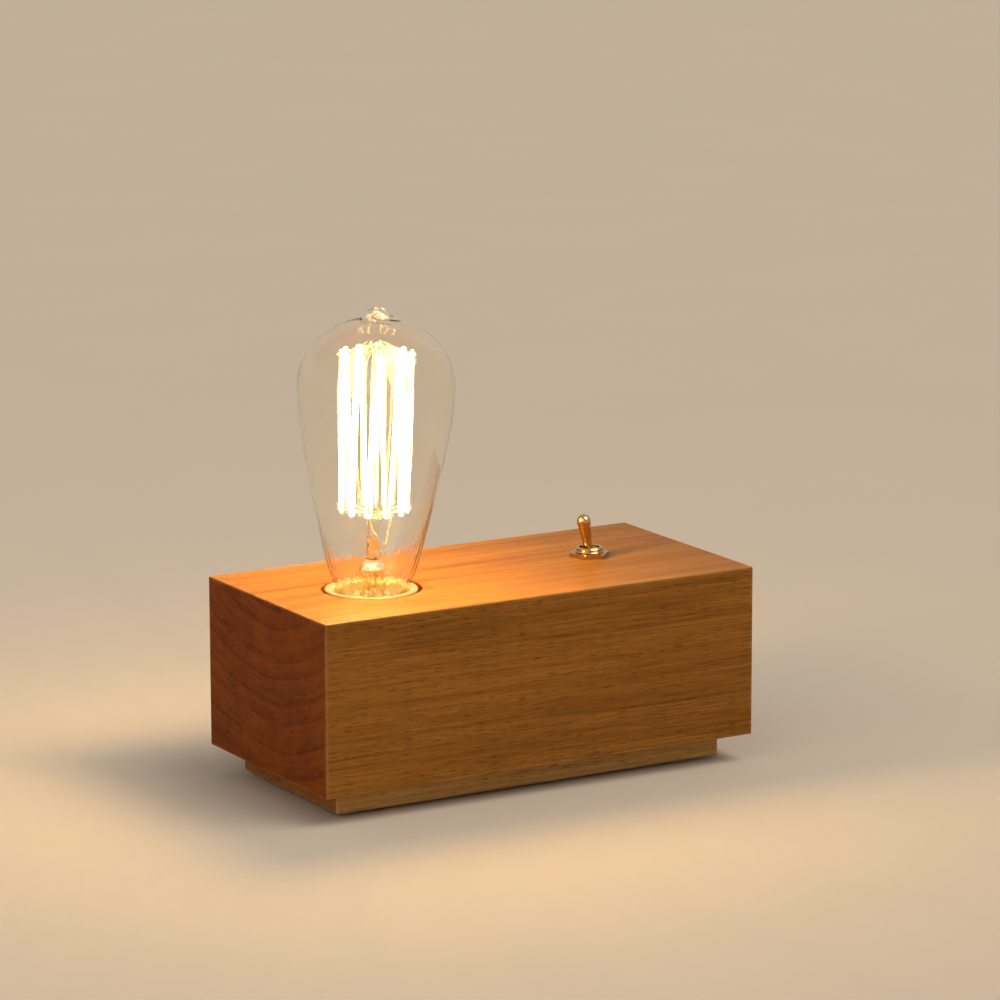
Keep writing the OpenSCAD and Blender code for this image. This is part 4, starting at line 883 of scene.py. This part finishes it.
# ---- anchors and lead-in wires ----
# Fine drawn wires melted into the two buttons hook round every bend. Two darker wires carry
# the filament's ends down through the pinch to the cap and the centre contact.
ANCHOR_R = 0.25
ANCHOR_SAG = 0.5
ANCHOR_HOOK = 0.5
LEAD_R = 0.27
CONTACT_TAIL = [(1.2, 0, 7.5), (1.2, 0, 0), (0.8, 0, -14), (0.8, 0, -23.4)]
CAP_TAIL = [(-1.2, 0, 7.5), (-1.2, 0, 0), (-3, 0, -12.5), (-8, 0, -14.5), (-10.98, 0, -14.9)]
anchor_wire = finish_of("anchor_wire", "worn_metal", {
    "Colour": rgb(0.66, 0.54, 0.38), "Tarnish": rgb(0.40, 0.28, 0.16), "Tarnish Amount": 0.5,
    "Roughness": 0.34, "Scratches": 0.1}, bump=0.00001, Metallic=1.0)
lead_wire = finish_of("lead_wire", "worn_metal", {
    "Colour": rgb(0.20, 0.13, 0.08), "Tarnish": rgb(0.09, 0.06, 0.04), "Tarnish Amount": 0.7,
    "Roughness": 0.50, "Scratches": 0.2}, bump=0.00002, Metallic=1.0)


def curved(points, steps=6):
    """A smooth path through a few points."""
    path = [points[0]]
    for i in range(len(points) - 1):
        before = points[max(i - 1, 0)]
        after = points[min(i + 2, len(points) - 1)]
        a, b = points[i], points[i + 1]
        path += [Vector(p) for p in bezier([a, a + (b - before) / 6, b - (after - a) / 6, b], steps)]
    return path


def anchor_paths():
    """One hooked wire from a button to each bend, the top ones first."""
    top_z, foot_z = CAGE_TOP - BEND_R, CAGE_FOOT + BEND_R
    bends = [(top_bend(i), CAGE_TOP_R, top_z, TOP_BUTTON, 0.75, -1) for i in range(BENDS)]
    bends += [(foot_bend(i), CAGE_FOOT_R, foot_z, FOOT_BUTTON, 0.6, 1) for i in range(1, BENDS)]
    tip = FILAMENT_R + ANCHOR_HOOK
    paths = []
    for angle, r, z, button_z, rise, side in bends:
        sag = rng.uniform(-ANCHOR_SAG, ANCHOR_SAG)
        paths.append(curved([
            polar(angle, BUTTON_R - 0.2, button_z),
            polar(angle, r * 0.5, z + (button_z - z) * rise + sag),
            polar(angle, r - tip - 0.6, z), polar(angle, r + tip, z),
            polar(angle, r + tip + 0.4, z + side * 0.8)]))
    return paths


def lead_paths():
    """A wire from the pinch to each end of the filament, and the two tails under the stem."""
    middle = CAGE_TURN - BEND_STEP / 4
    paths = []
    for s, a in ((-1, foot_bend(BENDS)), (1, foot_bend(0))):
        paths.append(curved([
            polar(middle + s * 60, ROD_R + 1, PINCH - 0.8), polar(middle + s * 50, ROD_R + 3, PINCH + 2.5),
            polar(a + s * 8, CAGE_FOOT_R * 0.75, (PINCH + CAGE_FOOT) / 2),
            polar(a, CAGE_FOOT_R, CAGE_FOOT - 4), polar(a, CAGE_FOOT_R, CAGE_FOOT - 0.2)]))
    for tail in (CONTACT_TAIL, CAP_TAIL):
        paths.append(curved([Vector(p) for p in tail]))
    return paths


def several(bm, paths, radius, sides):
    """A round bar along each path."""
    for path in paths:
        swept(bm, path, radius, sides)


for name, paths, radius, finish, node_name in (
        ("anchor_wires", anchor_paths(), ANCHOR_R, anchor_wire, "bulb_supports"),
        ("lead_in_wires", lead_paths(), LEAD_R, lead_wire, "bulb_leads")):
    piece = solid(name, lambda bm: several(bm, paths, radius, 10), angle=60)
    piece.data.materials.append(finish)
    lean(piece)
    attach(piece, "bulb")
    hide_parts(node_name)

# ---- glass envelope ----
# A pear of clear blown glass with thin walls, sealed to the stem at its neck and closed at the
# top by a thick uneven pip where the exhaust tube was melted off.
PIP_R = 8.2
PIP_Z = 109.9
GLASS_TOP = 114.6
BELLY_R = 32.0
BELLY_Z = 83.0
WAIST = (19.6, 13.0)
outer = [(NECK_R, GLASS_FOOT), (NECK_R, -8.0), (NECK_R, -6.0)]
outer += bezier([(NECK_R, -6), (NECK_R, -2), (WAIST[0] - 1.7, WAIST[1] - 8), WAIST], 20)
outer += bezier([WAIST, (26.05, 43.1), (BELLY_R, 66.9), (BELLY_R, BELLY_Z)], 44)
outer += bezier([(BELLY_R, BELLY_Z), (BELLY_R, 98.6), (PIP_R + 11, PIP_Z - 2.56), (PIP_R, PIP_Z)], 40)


def inside(line, wall):
    """The line moved inwards by the wall."""
    moved = []
    for i in range(len(line)):
        a, b = line[max(i - 1, 0)], line[min(i + 1, len(line) - 1)]
        dr, dz = b[0] - a[0], b[1] - a[1]
        size = math.hypot(dr, dz)
        moved.append((line[i][0] - wall * dz / size, line[i][1] + wall * dr / size))
    return moved


# over the outside of the pip to the axis, and back under it to the inner wall
pip_line = bezier([(PIP_R, PIP_Z), (PIP_R - 1.8, PIP_Z + 0.6), (4.3, GLASS_TOP), (0, GLASS_TOP)], 24)
pip_line += bezier([(0, PIP_Z + 3.5), (3.2, PIP_Z + 3.5), (5.4, PIP_Z - 0.1), (7.9, PIP_Z - 0.75)], 20)
glass_line = outer + pip_line + inside(outer, GLASS_T)[::-1]


def glass_form(a, r, z):
    """Slightly uneven blowing, and a lumpy pip."""
    slow = 0.10 * math.sin(2 * a + 0.05 * z) + 0.05 * math.sin(3 * a - 0.09 * z + 1.0)
    lump = 0.0
    if z > PIP_Z - 1.5 and r < PIP_R + 1:
        lump = 0.16 * math.sin(3 * a + 0.7) + 0.10 * math.sin(5 * a + 3.0 * z)
    return (slow - 0.15) * min(1.0, r / 12) + lump * min(1.0, r / 5)


envelope_glass = clear_glass("clear_glass", rgb(1.0, 0.975, 0.92), (70, 70, 40), 0.00008, drawn=2.2)
glass_envelope = solid("glass_envelope", lambda bm: turned(
    bm, glass_line, 144, (*SOCKET, TOP), wave=glass_form), angle=60)
glass_envelope.data.materials.append(envelope_glass)
lean(glass_envelope)
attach(glass_envelope, "bulb")
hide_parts("bulb_glass")

# ---- floor ----
# A wide matt sheet of paper in a pale warm grey. It lies level just under the feet and runs
# far past them on all sides, to a surround of the same colour.
FLOOR_HALF = 14.0
FLOOR_DROP = 0.0001
BACKDROP = rgb(0.58, 0.49, 0.39)
floor_mesh = bpy.data.meshes.new("floor")
corners = [(x * FLOOR_HALF, y * FLOOR_HALF) for x, y in ((-1, -1), (1, -1), (1, 1), (-1, 1))]
floor_mesh.from_pydata([(x, y, -FLOOR_DROP) for x, y in corners], [], [(0, 1, 2, 3)])
floor = bpy.data.objects.new("floor", floor_mesh)
bpy.context.scene.collection.objects.link(floor)
floor_paper = bpy.data.materials.new("floor_sheet")
floor_paper.use_nodes = True
tree = floor_paper.node_tree
tree.nodes.clear()
mottle = noise(tree, wire(tree, "TexCoord").outputs["Object"], (9, 9, 9), 3.0).outputs[0]
sheet = blend(tree, span(tree, mottle, 0.3, 0.7, 0.0, 0.06), BACKDROP, rgb(0.50, 0.42, 0.33))
matt = wire(tree, "BsdfPrincipled", {"Base Color": sheet, "Roughness": 0.9, "Specular IOR Level": 0.1})
wire(tree, "OutputMaterial", {"Surface": matt.outputs[0]})
floor_mesh.materials.append(floor_paper)

# ---- light and camera ----
# Soft daylight from high at the front right, a weaker fill from the left, and a plain pale
# surround. The long lens looks down a little on the front and the left end.
AMBIENT = 0.42
world = bpy.data.worlds.new("surround")
bpy.context.scene.world = world
world.use_nodes = True
tree = world.node_tree
tree.nodes.clear()
rays = wire(tree, "LightPath").outputs
seen = calc(tree, "MAXIMUM", rays["Is Glossy Ray"], rays["Is Transmission Ray"])
seen = calc(tree, "MAXIMUM", rays["Is Camera Ray"], seen)
ambient = wire(tree, "Background", {"Color": rgb(1.0, 0.97, 0.92), "Strength": AMBIENT})
shown = wire(tree, "Background", {"Color": BACKDROP, "Strength": 1.0})
mixed = wire(tree, "MixShader", {0: seen, 1: ambient.outputs[0], 2: shown.outputs[0]})
wire(tree, "OutputWorld", {"Surface": mixed.outputs[0]})


def sunlight(name, strength, angle, colour, come_from):
    """A broad soft light from a direction."""
    lamp = bpy.data.lights.new(name, "SUN")
    lamp.energy = strength
    lamp.angle = math.radians(angle)
    lamp.color = colour
    holder = bpy.data.objects.new(name, lamp)
    holder.rotation_mode = "QUATERNION"
    holder.rotation_quaternion = Vector(come_from).to_track_quat("Z", "Y")
    bpy.context.scene.collection.objects.link(holder)


sunlight("key", 1.5, 40, (1.0, 0.95, 0.88), (0.55, -0.72, 1.45))
sunlight("fill", 0.62, 60, (1.0, 0.93, 0.85), (-1.0, -0.55, 0.55))

YAW = math.radians(30.3905)
PITCH_DOWN = math.radians(12.0705)
ROLL = math.radians(-0.1277)
CAMERA_AT = (-0.98262, -1.69032, 0.53044)
LENS = 176.33
SENSOR_WIDTH = 36.0
camera_data = bpy.data.cameras.new("camera")
camera_data.lens = LENS
camera_data.sensor_width = SENSOR_WIDTH
camera_data.clip_start = 0.05
camera_data.clip_end = 100.0
camera = bpy.data.objects.new("camera", camera_data)
level_share = math.cos(PITCH_DOWN)
ahead = Vector((math.sin(YAW) * level_share, math.cos(YAW) * level_share, -math.sin(PITCH_DOWN)))
right = Vector((math.cos(YAW), -math.sin(YAW), 0))
above = right.cross(ahead)
rolled = (math.cos(ROLL) * right + math.sin(ROLL) * above, math.cos(ROLL) * above - math.sin(ROLL) * right)
turn = Matrix((*rolled, -ahead)).transposed().to_4x4()
camera.matrix_world = Matrix.Translation(CAMERA_AT) @ turn
bpy.context.scene.collection.objects.link(camera)
bpy.context.scene.camera = camera
bpy.context.scene.view_settings.view_transform = "Standard"
